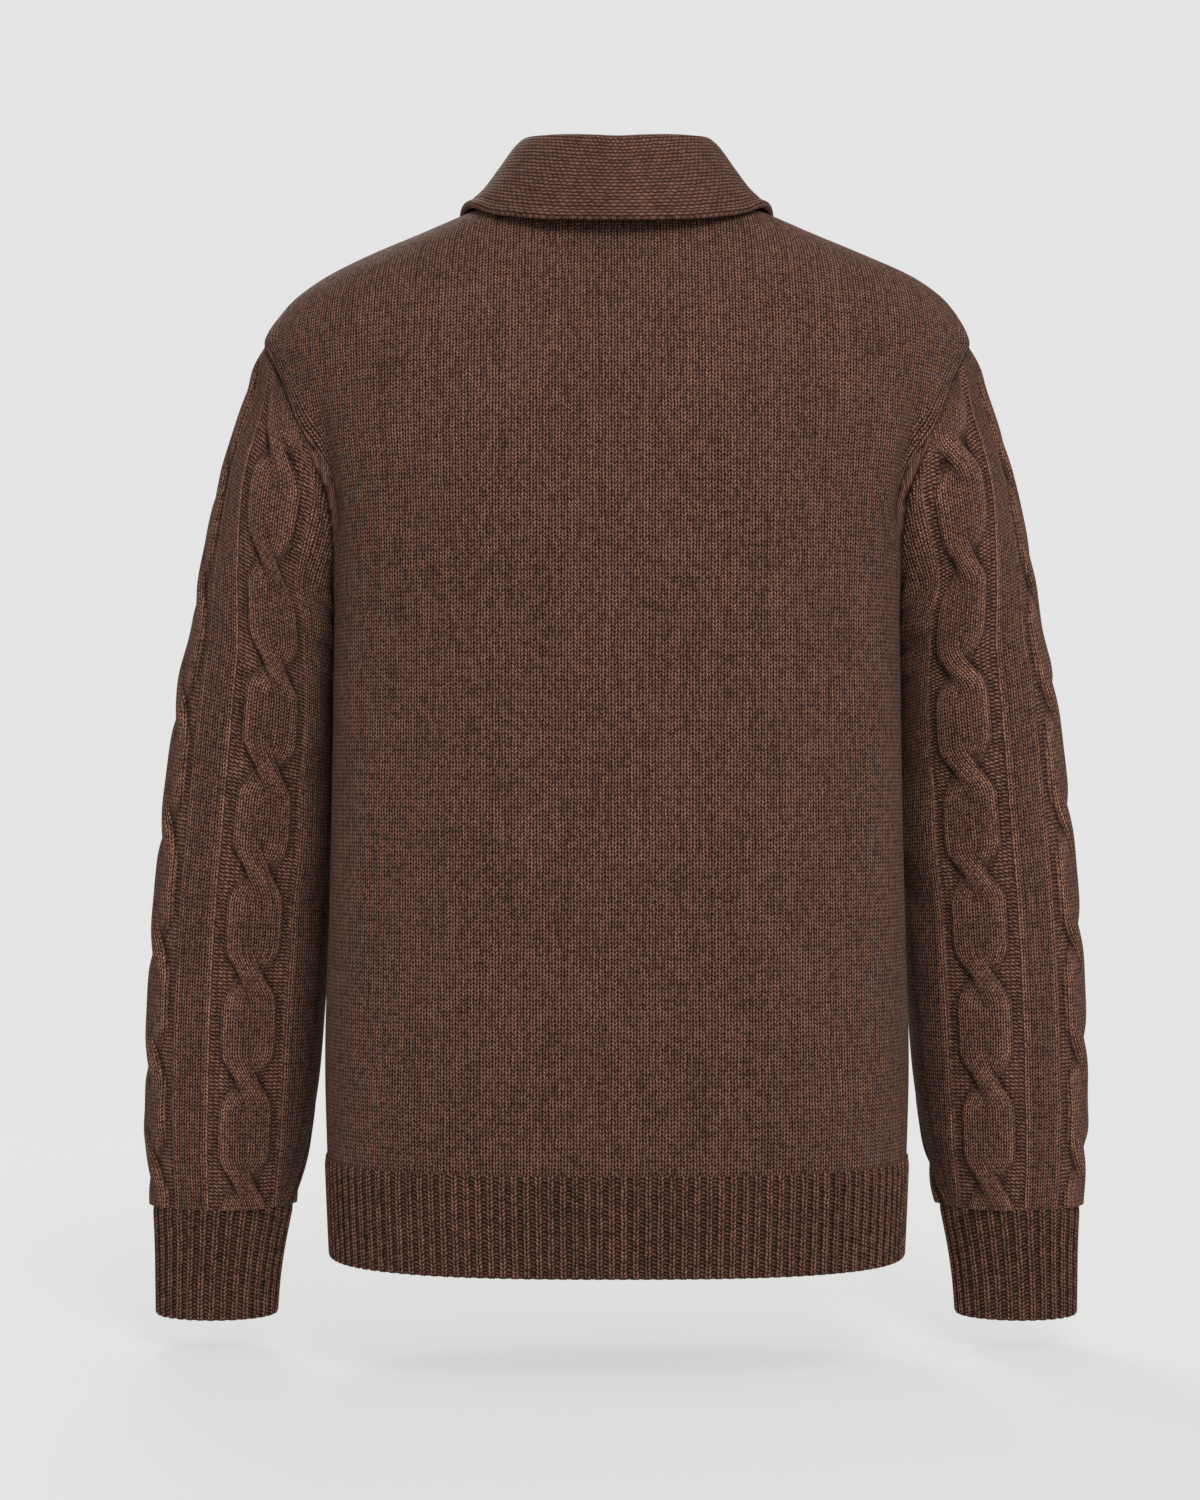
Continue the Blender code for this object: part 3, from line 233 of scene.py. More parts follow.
# seam_x, seam_side, fold_x, fold_y, fold_z, edge_x, edge_y, edge_z round the neck
COLLAR_NECK = (
    (0.0703, -1, 0.0450, -0.0510, -0.0130, 0.1130, -0.0570, -0.0420),
    (0.0772, -1, 0.0525, -0.0180, 0.0290, 0.1035, -0.0230, -0.0138),
    (0.0768, 1, 0.0545, 0.0140, 0.0345, 0.0965, 0.0220, -0.0086),
    (0.0650, 1, 0.0450, 0.0420, 0.0330, 0.0825, 0.0560, -0.0150),
    (0.0370, 1, 0.0255, 0.0620, 0.0312, 0.0505, 0.0790, -0.0222),
    (0.0000, 1, 0.0000, 0.0700, 0.0295, 0.0000, 0.0885, -0.0245),
)

STRIP_LIFT = WALL + 0.0012  # the left band, and the collar's left end, lie on the right ones
UNDER_BAND_WIDTH = 0.0270
STRIP_LIFT_FROM = -0.2680  # above this height the collar's left end comes down again
STRIP_LIFT_FADE = 0.025
COLLAR_LEAD = 0.0025  # level cloth beside the collar's or the band's seam
RAMP = 0.0050  # length over which the cloth then climbs
FOLD_LIFT = 0.0060  # the collar's fold stands off the chest
FOLD_LIFT_FROM = -0.2700
FOLD_LIFT_FADE = 0.05
COLLAR_SEAT = 0.0007  # from the panel's edge to the collar's
COLLAR_REST = COLLAR_WALL / 2 + 0.0018  # the fall's middle surface over the panels
COLLAR_BEAD = 0.0026  # radius of the rolled free edge
BEAD_GROOVE = 0.0005  # depth of the groove beside it
BEAD_GROOVE_WIDTH = 0.0007
COLLAR_EDGE = 0.010  # width of the part with the finest columns
COLLAR_SECTION_Z = (-0.3, -0.2975, -0.289, -0.278, -0.267, -0.256, -0.2389, -0.2252, -0.2050)
COLLAR_UPPER_SECTIONS = 22  # from the last of these heights to the middle back
COLLAR_ROWS = 300
COLLAR_COLUMNS = 34
NECK_SHARE = NECK_HALF_WIDTH / ARMHOLE[-1][1]

# a button's face, rim and back: shares of its radius and of its half thickness
BUTTON_FACE = ((0.0, 0.20), (0.40, 0.22), (0.58, 0.34), (0.68, 0.72), (0.76, 0.98))
BUTTON_RIM = 0.16
BUTTON_BACK = ((0.75, -1.0), (0.0, -1.0))
BUTTON_HOLE_RADIUS = 0.0010
BUTTON_HOLE_APART = 0.0019  # from the button's middle, in x and y
THREAD_RADIUS = 0.0003
THREAD_APART = 0.00028  # half the distance between two passes

# ---------------------------------------------------------------- looks
# Each light colour is the yarn on its stitches' tops. Each dark one is painted shade, which the
# material lays on the stitches' low parts and in the grooves between them.
KNIT_LIGHT = (0.388, 0.185, 0.126)
KNIT_PAINTED_SHADE = (0.008, 0.0034, 0.0022)
RIB_LIGHT = (0.270, 0.125, 0.083)
RIB_PAINTED_SHADE = (0.007, 0.0030, 0.0020)
COLLAR_LIGHT = (0.200, 0.094, 0.064)
COLLAR_PAINTED_SHADE = (0.014, 0.0060, 0.0040)
STITCH_SHADE = 0.78  # how much a stitch's own shade varies
COLLAR_SHADE_SHARE = 0.6  # and the share of it in the collar
CAVITY_SHADE = 0.84
BUMP_DISTANCE = 0.0009
CLOTH_SHADER = {
    "Roughness": 0.92,
    "Specular IOR Level": 0.12,
    "Sheen Weight": 0.05,
    "Sheen Roughness": 0.45,
    "Sheen Tint": (0.80, 0.62, 0.52, 1.0),
}

# amount, scale, detail and roughness of the yarn's irregularities
YARN_NOISE = {
    "sway": (0.30, 170.0, 1.0, 0.5),  # wales
    "slack": (0.55, 240.0, 1.0, 0.5),  # courses
    "fibre": (0.45, 1500.0, 2.0, 0.6),  # height
    "streak": (0.50, 0.9, 1.0, 0.5),  # tone, by wales
    "cloud": (0.30, 22.0, 2.0, 0.5),  # tone, over a hand's width
    "speck": (0.45, 900.0, 1.0, 0.5),  # tone, in the yarn
}
STREAK_STRETCH = 0.02  # along the wales

# the heights of a V stitch, a purl bar and the collar's bumps
LEG_ROUNDNESS = 0.8
LEG_LEAN = 0.9  # courses that a stitch's leg falls from the wale's middle to its edge
LEG_FLOOR = 0.10
GROOVE_SHARE = 0.80
GROOVE_ROUNDNESS = 0.45
BAR_LEAN = 0.40
BAR_SWELL = 0.32
BAR_HEIGHT = 0.42
ROW_ROUNDNESS = 0.65
BUMP_SHARE = 0.62

BUTTON_SHADER = {"Roughness": 0.32, "Coat Weight": 0.25, "Coat Roughness": 0.20}
HORN_STRETCH = (1.0, 3.5, 1.0)
HORN_COLOURS = ((0.35, (0.012, 0.006, 0.004)), (0.70, (0.075, 0.036, 0.020)))
HORN_SCRATCHES = 0.00006
THREAD_DARK = (0.022, 0.010, 0.007)
THREAD_LIGHT = (0.070, 0.036, 0.026)

BACKGROUND = (0.78, 0.78, 0.78)
FLOOR_SHADER = {
    "Base Color": (0.60, 0.60, 0.60, 1.0),
    "Roughness": 0.9,
    "Specular IOR Level": 0.0,
}
FLOOR_GLOW = 0.80  # the floor's own share of the background's light, near the garment
FLOOR_HEIGHT = -0.760  # under the cuffs
FLOOR_RADIUS = 14.0
FLOOR_FADE = (0.50, 1.50)  # distances from the middle of the floor
AMBIENT = 0.68  # the background's share as light
LIGHTS = (("key", (-0.6, 2.3, 1.4)), ("front", (0.6, -2.3, 1.4)))
LIGHT_TARGET = (0.0, 0.0, -0.35)
LIGHT_SIZE = 1.0
LIGHT_POWER = 62.0
LIGHT_COLOUR = (1.0, 0.99, 0.97)
SENSOR_WIDTH = 36.0
CAMERA_PLACE = (0.0110, 2.04, -0.3586)
FOCAL_PIXELS = 3100
FRAME_HEIGHT_PIXELS = 1500

# ---------------------------------------------------------------- stitches, seams and folds
WALE = 0.0039
CABLE_WALE = 0.003384
COURSE = 0.00255
ROW_BUMP = 0.0022  # one row of purl bumps on the collar
COLLAR_STITCH = 0.0036
HALF_WALES = 66  # from the middle of the back to the side
# Painted shade darkens the knit's hollows, fully where they are as deep as this.
CAVITY_SCALE = 0.0016  # depth that counts as a full cavity
CAVITY_REACH = 3  # points on each side that it is measured against, twice
# A painted highlight lightens the strands' rims and the ridges beside the cables.
RIM_PAINTED_HIGHLIGHT = 0.45  # how much lighter a strand's rim is
# Painted shade in a rib's purl wales and a painted highlight on its tops.
RIB_PAINTED_SHADING = 0.80  # how much darker the purl wales of a rib are, and how much lighter its tops

# the soft bridge of cloth over the armhole seam, and the dent along each seam
SEAM_FILL = 0.0060
SEAM_FILL_FROM = -0.2200
SEAM_FILL_FADE = 0.0550
SEAM_FILL_REACH = 0.0260
SEAM_FILL_TOP_FADE = 0.085
SEAM_FILL_AT_TIP = 0.18
SEAM_DENT = 0.0007
SEAM_DENT_WIDTH = 0.0022
UNDER_SEAM_DENT = 0.0006  # of the sleeve's own seam, under the arm
SEAM_BLEND = 0.012  # over this length the sleeve leaves the seam's direction

# rows of the body panels below and above the underarm, and the columns beside the armhole
LOW_ROWS = 84
SEAM_ROWS = 52
STRIP_SHARE = 0.9540  # from here to the armhole the stitches run along it
STRIP_END = 0.978
EDGE_SHARES = (0.985, 0.993, 1.0)
STRIP_SCALE = 0.25  # length that the stitches there count, for a whole half panel
SMALL_STEP = 1e-5  # for slopes of the torso's form
FOLDS_FROM_SEAM = 0.03
FOLDS_FROM_HEM = 0.025
FOLDS_FROM_ENDS = 0.02  # of a sleeve
FOLD_GIRTH = 0.33  # the sleeve's girth for its folds

# side, x0, z0, x1, z1, width, height of soft troughs (below 0) and ridges in the body's cloth
FOLDS = (
    (1, 0.150, -0.165, 0.095, -0.260, 0.022, -0.0016),
    (1, 0.176, -0.250, 0.158, -0.420, 0.016, 0.0016),
    (1, 0.140, -0.270, 0.128, -0.540, 0.022, -0.0014),
    (1, 0.098, -0.120, 0.088, -0.610, 0.024, 0.0013),
    (1, 0.050, -0.080, 0.046, -0.600, 0.020, -0.0011),
    (1, 0.010, -0.060, 0.004, -0.590, 0.022, 0.0009),
    (1, -0.040, -0.090, -0.046, -0.610, 0.022, -0.0010),
    (1, -0.092, -0.110, -0.086, -0.600, 0.024, 0.0014),
    (1, -0.136, -0.240, -0.128, -0.560, 0.022, -0.0013),
    (1, -0.174, -0.250, -0.160, -0.430, 0.016, 0.0018),
    (1, -0.150, -0.160, -0.098, -0.250, 0.022, -0.0015),
    (1, 0.170, -0.560, 0.110, -0.606, 0.014, 0.0012),
    (1, -0.168, -0.566, -0.105, -0.608, 0.014, 0.0012),
    (1, 0.190, -0.030, 0.262, -0.130, 0.030, -0.0022),
    (-1, 0.190, -0.030, 0.262, -0.130, 0.030, -0.0022),
    (-1, 0.150, -0.180, 0.080, -0.300, 0.022, -0.0020),
    (-1, 0.165, -0.260, 0.130, -0.460, 0.020, 0.0018),
    (-1, 0.110, -0.290, 0.100, -0.580, 0.022, -0.0014),
    (-1, 0.060, -0.330, 0.058, -0.600, 0.020, 0.0012),
    (-1, -0.150, -0.175, -0.085, -0.290, 0.022, -0.0019),
    (-1, -0.165, -0.260, -0.132, -0.450, 0.020, 0.0018),
    (-1, -0.112, -0.300, -0.098, -0.590, 0.022, -0.0014),
    (-1, -0.060, -0.340, -0.062, -0.600, 0.020, 0.0012),
    (-1, 0.160, -0.560, 0.070, -0.606, 0.014, 0.0012),
    (-1, -0.160, -0.556, -0.075, -0.606, 0.014, 0.0012),
)

# distance0, turn0, distance1, turn1 (degrees round the sleeve), width, height of the sleeve's folds
SLEEVE_FOLDS = (
    (0.010, 166, 0.105, 166, 0.022, 0.0094),
    (0.110, 168, 0.135, 168, 0.020, 0.0035),
    (0.005, 24, 0.090, 12, 0.034, -0.0042),
    (0.085, 8, 0.165, 8, 0.032, -0.0036),
    (0.020, 150, 0.110, 95, 0.013, -0.0026),
    (0.045, 185, 0.150, 120, 0.012, -0.0020),
    (0.030, 205, 0.130, 255, 0.013, -0.0024),
    (0.200, 165, 0.250, 100, 0.012, -0.0018),
    (0.245, 190, 0.285, 118, 0.011, 0.0014),
    (0.270, 200, 0.320, 130, 0.012, -0.0018),
    (0.225, 195, 0.275, 262, 0.012, -0.0018),
    (0.300, 190, 0.350, 250, 0.012, -0.0014),
    (0.440, 60, 0.470, -10, 0.010, 0.0010),
    (0.450, 170, 0.480, 110, 0.010, 0.0010),
)


# ---------------------------------------------------------------- curves through tables


def through(knots, values, at):
    """The smooth curve through values at ascending knots, read at one or many places."""
    knots, values, at = (np.asarray(given, float) for given in (knots, values, at))
    extra = (1,) * (values.ndim - 1)
    step = np.diff(knots)
    slope = np.diff(values, axis=0) / step.reshape((-1,) + extra)
    share = (step[1:] / (step[:-1] + step[1:])).reshape((-1,) + extra)
    inner = share * slope[:-1] + (1 - share) * slope[1:]
    tangent = np.concatenate([slope[:1], inner, slope[-1:]])
    cell = np.clip(np.searchsorted(knots, at) - 1, 0, len(step) - 1)
    h = step[cell].reshape(at.shape + extra)
    s = (at - knots[cell]).reshape(at.shape + extra) / h
    return (
        (2 * s**3 - 3 * s**2 + 1) * values[cell]
        + (s**3 - 2 * s**2 + s) * h * tangent[cell]
        + (3 * s**2 - 2 * s**3) * values[cell + 1]
        + (s**3 - s**2) * h * tangent[cell + 1]
    )


def column(table, index):
    return np.array([row[index] for row in table], float)


def smooth(value):
    """0 to 1 with level ends."""
    value = np.clip(value, 0.0, 1.0)
    return value * value * (3 - 2 * value)


def bell(value):
    """1 in the middle, 0.37 one width away."""
    return np.exp(-(value**2))


def unit(vectors):
    return vectors / np.maximum(np.linalg.norm(vectors, axis=-1, keepdims=True), 1e-12)


def run_along(points):
    return np.concatenate([[0], np.cumsum(np.linalg.norm(np.diff(points, axis=0), axis=1))])


def resampled(points, run, where):
    return np.stack([np.interp(where, run, points[:, k]) for k in range(3)], axis=-1)


# ---------------------------------------------------------------- the torso's form
TORSO_Z = column(TORSO, 0)


def half_width(z):
    return through(TORSO_Z, column(TORSO, 1), z)


def depth(z, side):
    return through(TORSO_Z, column(TORSO, 2 if side > 0 else 3), z)


def squareness(z):
    return through(TORSO_Z, column(TORSO, 4), z)


def torso_y(x, z, side):
    """How far the cloth's outside lies behind (side 1) or before (side -1) the shoulder line."""
    power = squareness(z)
    inside = np.clip(1 - (np.abs(x) / half_width(z)) ** power, 0.0, 1.0)
    return depth(z, side) * inside ** (1 / power)


def torso_level(points):
    """1 on the torso's outside, less within it."""
    x, y, z = np.moveaxis(points, -1, 0)
    power = squareness(z)
    deep = np.where(y >= 0, depth(z, 1), depth(z, -1))
    return (np.abs(x) / half_width(z)) ** power + (np.abs(y) / deep) ** power


def torso_normal(points):
    steps = SMALL_STEP * np.eye(3)
    grown = [torso_level(points + step) - torso_level(points - step) for step in steps]
    return unit(np.stack(grown, axis=-1))


RIDGE_TOP = TORSO[-1][0]
SHOULDER_Z = np.linspace(SHOULDER_TIP, RIDGE_TOP, 400)
SHOULDER_X = half_width(SHOULDER_Z)


def shoulder_line(x):
    """Height of the shoulder's ridge at a distance x from the middle."""
    return np.interp(x, SHOULDER_X[::-1], SHOULDER_Z[::-1])


def panel_edge(z):
    """Half width of the body panels: the side seam, then the armhole, then straight up."""
    armhole = through(column(ARMHOLE, 0), column(ARMHOLE, 1), np.clip(z, UNDERARM, SHOULDER_TIP))
    return np.where(z < UNDERARM, half_width(z), armhole)


def neck_edge_z(x):
    """Height of the back neck seam."""
    reach = np.clip(np.abs(x) / NECK_HALF_WIDTH, 0, 1)
    return NECK_BACK_DROP * (reach**NECK_ROUNDNESS - 1)


def front_edge_x(z):
    """Half distance between the front panels: the band's seam, then the neckline's slope."""
    rise = np.clip((z - V_BOTTOM) / -V_BOTTOM, 0, 1.1)
    return BAND_HALF_WIDTH + (NECK_HALF_WIDTH - BAND_HALF_WIDTH) * rise**NECKLINE_CURVE


def armhole_loop(angle):
    """The armhole seam: 0 at the shoulder's tip, 90 degrees at its back, 180 at the underarm."""
    z = UNDERARM + (SHOULDER_TIP - UNDERARM) * (1 + np.cos(angle)) / 2
    x = panel_edge(z)
    y = np.where(np.sin(angle) >= 0, torso_y(x, z, 1), -torso_y(x, z, -1))
    return np.stack([x, y, z], axis=-1)


# ---------------------------------------------------------------- the sleeve's form
SLEEVE_LENGTH = SLEEVE[-1][0]
SLEEVE_KNOTS = np.append(0.0, column(SLEEVE, 0))


def sleeve_ring(angles, distance):
    """One ring of the sleeve: the angle is 0 at its outermost point and 90 degrees behind."""
    rows = [armhole_loop(angles)]
    for _, outer_x, outer_z, inner_x, inner_z, centre_y, half_depth in SLEEVE:
        outer = np.array([outer_x, 0, outer_z])
        inner = np.array([inner_x, 0, inner_z])
        middle = (outer + inner) / 2 + np.array([0, centre_y, 0])
        across = (outer - inner) / 2 * np.cos(angles)[:, None]
        rows.append(middle + across + np.array([0, half_depth, 0]) * np.sin(angles)[:, None])
    return through(SLEEVE_KNOTS, np.stack(rows), distance)


def sleeve_normal(angles, distance):
    small = 1e-4
    around = sleeve_ring(angles + small, distance) - sleeve_ring(angles - small, distance)
    along = sleeve_ring(angles, distance + small) - sleeve_ring(angles, distance)
    return unit(np.cross(along, around))


def ring_run(distance, count):
    """Angles round a ring, its points, and their run backward from its outermost line."""
    angles = np.linspace(-math.pi, math.pi, count)
    points = sleeve_ring(angles, distance)
    run = run_along(points)
    return angles, points, run - np.interp(0.0, angles, run)


def seam_angle():
    """The angle on the armhole where the shoulder seam ends: before the shoulder's tip."""
    angles, _, run = ring_run(COLUMNS_PARALLEL_TO, 145)
    return float(np.interp(-MIDDLE_SHIFT[0][1], run, angles))


SEAM_ANGLE = seam_angle()
SHOULDER_FORWARD = -float(armhole_loop(np.array([SEAM_ANGLE]))[0, 1])


# ---------------------------------------------------------------- folds
def fold_height(folds, x, z, lead, fade):
    """Height of soft folds along lines on the cloth, which fade in over their ends."""
    total = np.zeros_like(x)
    for x0, z0, x1, z1, width, height in folds:
        dx = x1 - x0
        dz = z1 - z0
        share = ((x - x0) * dx + (z - z0) * dz) / (dx * dx + dz * dz)
        held = np.clip(share, 0, 1)
        away = np.hypot(x - x0 - held * dx, z - z0 - held * dz)
        ends = smooth((share + lead) / fade) * smooth((1 + lead - share) / fade)
        total += height * ends * bell(away / width)
    return total


def body_folds(x, z, side):
    return fold_height([row[1:] for row in FOLDS if row[0] == side], x, z, 0.25, 0.5)


def sleeve_folds(turns, distances):
    """The same on a sleeve, by degrees round it and distances down from its seam."""
    folds = []
    for distance0, turn0, distance1, turn1, width, height in SLEEVE_FOLDS:
        first, last = (turn / 360 * FOLD_GIRTH for turn in (turn0, turn1))
        folds.append((first, distance0, last, distance1, width, height))
    return fold_height(folds, turns / 360 * FOLD_GIRTH, distances, 0.15, 0.4)


# ---------------------------------------------------------------- meshes
MATERIALS = {}


def placed(name, data):
    thing = bpy.data.objects.new(name, data)
    bpy.context.scene.collection.objects.link(thing)
    return thing


def mesh_of(name, bm):
    mesh = bpy.data.meshes.new(name)
    bm.to_mesh(mesh)
    bm.free()
    return mesh


def strip_faces(first, second):
    """Triangles between two runs of vertex numbers of unlike counts."""
    faces = []
    i = 0
    j = 0
    while i < len(first) - 1 or j < len(second) - 1:
        ahead_first = (i + 1) / max(len(first) - 1, 1)
        ahead_second = (j + 1) / max(len(second) - 1, 1)
        if j == len(second) - 1 or (i < len(first) - 1 and ahead_first <= ahead_second):
            faces.append((first[i], first[i + 1], second[j]))
            i += 1
        else:
            faces.append((first[i], second[j + 1], second[j]))
            j += 1
    return faces


def face_corners(grid):
    """The four corners of each face of a grid, in order round it, along a third axis."""
    return np.stack([grid[:-1, :-1], grid[:-1, 1:], grid[1:, 1:], grid[1:, :-1]], axis=2)


def vertex_numbers(shape, closed, offset):
    number = offset + np.arange(shape[0] * shape[1]).reshape(shape[:2])
    return np.concatenate([number, number[:, :1]], axis=1) if closed else number


def knit_piece(node, outer, corners, inner, look, closed=False, purl=0.0, painted_shading=0.0):
    """A closed wall with stitches on both sides, which stands for a CAD node.

    The outer grid is [row][column][xyz], with its faces' corner UVs and the purl share and painted
    shading of its points: painted shade in hollows, painted highlight on rims and tops.
    The inner grid is coarser and shows the knit's purl side.
    """
    rows, columns = outer.shape[:2]
    inner_rows, inner_columns = inner.shape[:2]
    number = vertex_numbers(outer.shape, closed, 0)
    inner_number = vertex_numbers(inner.shape, closed, rows * columns)
    quads = [face_corners(grid).reshape(-1, 4).tolist() for grid in (number, inner_number)]
    edges = [(number[0], inner_number[0]), (number[-1], inner_number[-1])]
    if not closed:
        edges += [(number[:, 0], inner_number[:, 0]), (number[:, -1], inner_number[:, -1])]
    rims = [face for first, second in edges for face in strip_faces(first, second)]

    def uv_at(row_numbers, column_numbers):
        row_numbers = np.minimum(row_numbers, rows - 2)
        return corners[row_numbers][:, np.minimum(column_numbers, corners.shape[1] - 1), 0]

    # The inside reads the outside's UVs at the rows and columns that it was thinned to.
    row_step = round((rows - 1) / (inner_rows - 1))
    column_step = round((columns - 1) / (inner_columns - 1))
    inner_uv = uv_at(
        np.arange(inner_rows) * row_step, np.arange(inner_number.shape[1]) * column_step
    )
    point_uv = [uv_at(np.arange(rows), np.arange(columns)), inner_uv[:, :inner_columns]]
    rim_uv = np.concatenate([uv.reshape(-1, 2) for uv in point_uv])[np.array(rims).reshape(-1)]
    all_uv = [corners.reshape(-1, 2), face_corners(inner_uv).reshape(-1, 2), rim_uv]
    points = np.concatenate([outer.reshape(-1, 3), inner.reshape(-1, 3)])
    mesh = bpy.data.meshes.new(node + "_knit")
    mesh.from_pydata(points.tolist(), [], quads[0] + quads[1] + rims)
    layer = mesh.uv_layers.new(name="stitches")
    layer.data.foreach_set("uv", np.concatenate(all_uv).astype(np.float32).reshape(-1))
    for name, outside, inside in (("purl", purl, 1.0), ("painted_shading", painted_shading, 0.0)):
        values = np.full(len(points), inside, np.float32)
        values[: rows * columns] = np.broadcast_to(outside, (rows, columns)).reshape(-1)
        mesh.attributes.new(name, "FLOAT", "POINT").data.foreach_set("value", values)
    bm = bmesh.new()
    bm.from_mesh(mesh)
    bmesh.ops.recalc_face_normals(bm, faces=bm.faces)
    bm.to_mesh(mesh)
    bm.free()
    mesh.shade_smooth()
    mesh.set_sharp_from_angle(angle=math.radians(50))
    mesh.materials.append(MATERIALS[look])
    piece = placed(node + "_knit", mesh)
    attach(piece, "root")
    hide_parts(node)
    return piece


# ---------------------------------------------------------------- body panels
def seam_frames(angles):
    """Armhole points with the directions that the panel and the sleeve share there."""
    points = armhole_loop(angles)
    small = 1e-3
    tangent = unit(armhole_loop(angles + small) - armhole_loop(angles - small))
    outward = unit(torso_normal(points) + sleeve_normal(angles, small))
    outward = unit(outward - tangent * np.sum(outward * tangent, axis=-1, keepdims=True))
    gap = unit(np.cross(tangent, outward))
    down = sleeve_ring(angles, 0.01) - points
    facing = np.sign(np.sum(gap * down, axis=-1, keepdims=True))
    return points, outward, gap * facing


def seam_fill(z):
    """Height of the soft bridge of cloth over the armhole seam: full above the underarm."""
    low = smooth((z - SEAM_FILL_FROM) / SEAM_FILL_FADE)
    high = smooth((SHOULDER_TIP - z) / SEAM_FILL_TOP_FADE)
    return SEAM_FILL * low * (SEAM_FILL_AT_TIP + (1 - SEAM_FILL_AT_TIP) * high)


def crease_depth(x, z):
    """Depth of the soft fold that runs down from the armhole seam to the body's side."""
    run = np.clip((z - CREASE_TOP) / (CREASE_BOTTOM - CREASE_TOP), 0, 1)
    middle = CREASE_X - CREASE_LEAN * run
    ends = smooth(run / CREASE_FADES[0]) * smooth((1 - run) / CREASE_FADES[1])
    return CREASE_DEPTH * ends * bell((np.abs(x) - middle) / CREASE_WIDTH)


def body_outside(x, z, side):
    x, z = np.broadcast_arrays(x, z)
    return np.stack([x, side * torso_y(x, z, side), z], axis=-1)


def seam_forward(x):
    """How far the shoulder seam lies before the ridge."""
    at_tip = panel_edge(np.array(SHOULDER_TIP))
    return np.interp(x, (NECK_HALF_WIDTH, at_tip), (NECK_FORWARD, SHOULDER_FORWARD))


def ended_at(points, y):
    """The path up to where it passes a given y, with its end set there."""
    passed = np.sign(points[:, 1] - y) != np.sign(points[0, 1] - y)
    last = int(np.argmax(passed))
    share = (y - points[last - 1, 1]) / (points[last, 1] - points[last - 1, 1])
    end = points[last - 1] + (points[last] - points[last - 1]) * share
    return np.concatenate([points[:last], [end]])


def panel_path(side, share):
    """The run of one panel column from the underarm's level to the shoulder or neck seam."""
    z = np.linspace(UNDERARM, RIDGE_TOP, 700)
    neck = side > 0 and share < NECK_SHARE
    inner = front_edge_x(z) if side < 0 else 0.0
    x = inner + share * (panel_edge(z) - inner)
    top = neck_edge_z(x) if neck else shoulder_line(x)
    above = np.nonzero(z >= top)[0]
    last = above[0] if len(above) else len(z) - 1
    z[last] = top[last]
    points = body_outside(x[: last + 1], z[: last + 1], side)
    if neck:
        return points
    if side > 0:
        # The back goes over the ridge, to the seam before it.
        beyond_z = np.linspace(z[last], z[last] - 0.02, 120)[1:]
        beyond = body_outside(np.full_like(beyond_z, x[last]), beyond_z, -1)
        points = np.concatenate([points, beyond])
    return ended_at(points, -seam_forward(x[last]))


def level_arc(x, z, side):
    """Length along the torso's level section from its middle to x."""
    across = x[..., None] * np.sin(np.linspace(0, math.pi / 2, 40))
    deep = torso_y(across, np.broadcast_to(z[..., None], across.shape), side)
    return np.hypot(np.diff(across, axis=-1), np.diff(deep, axis=-1)).sum(axis=-1)


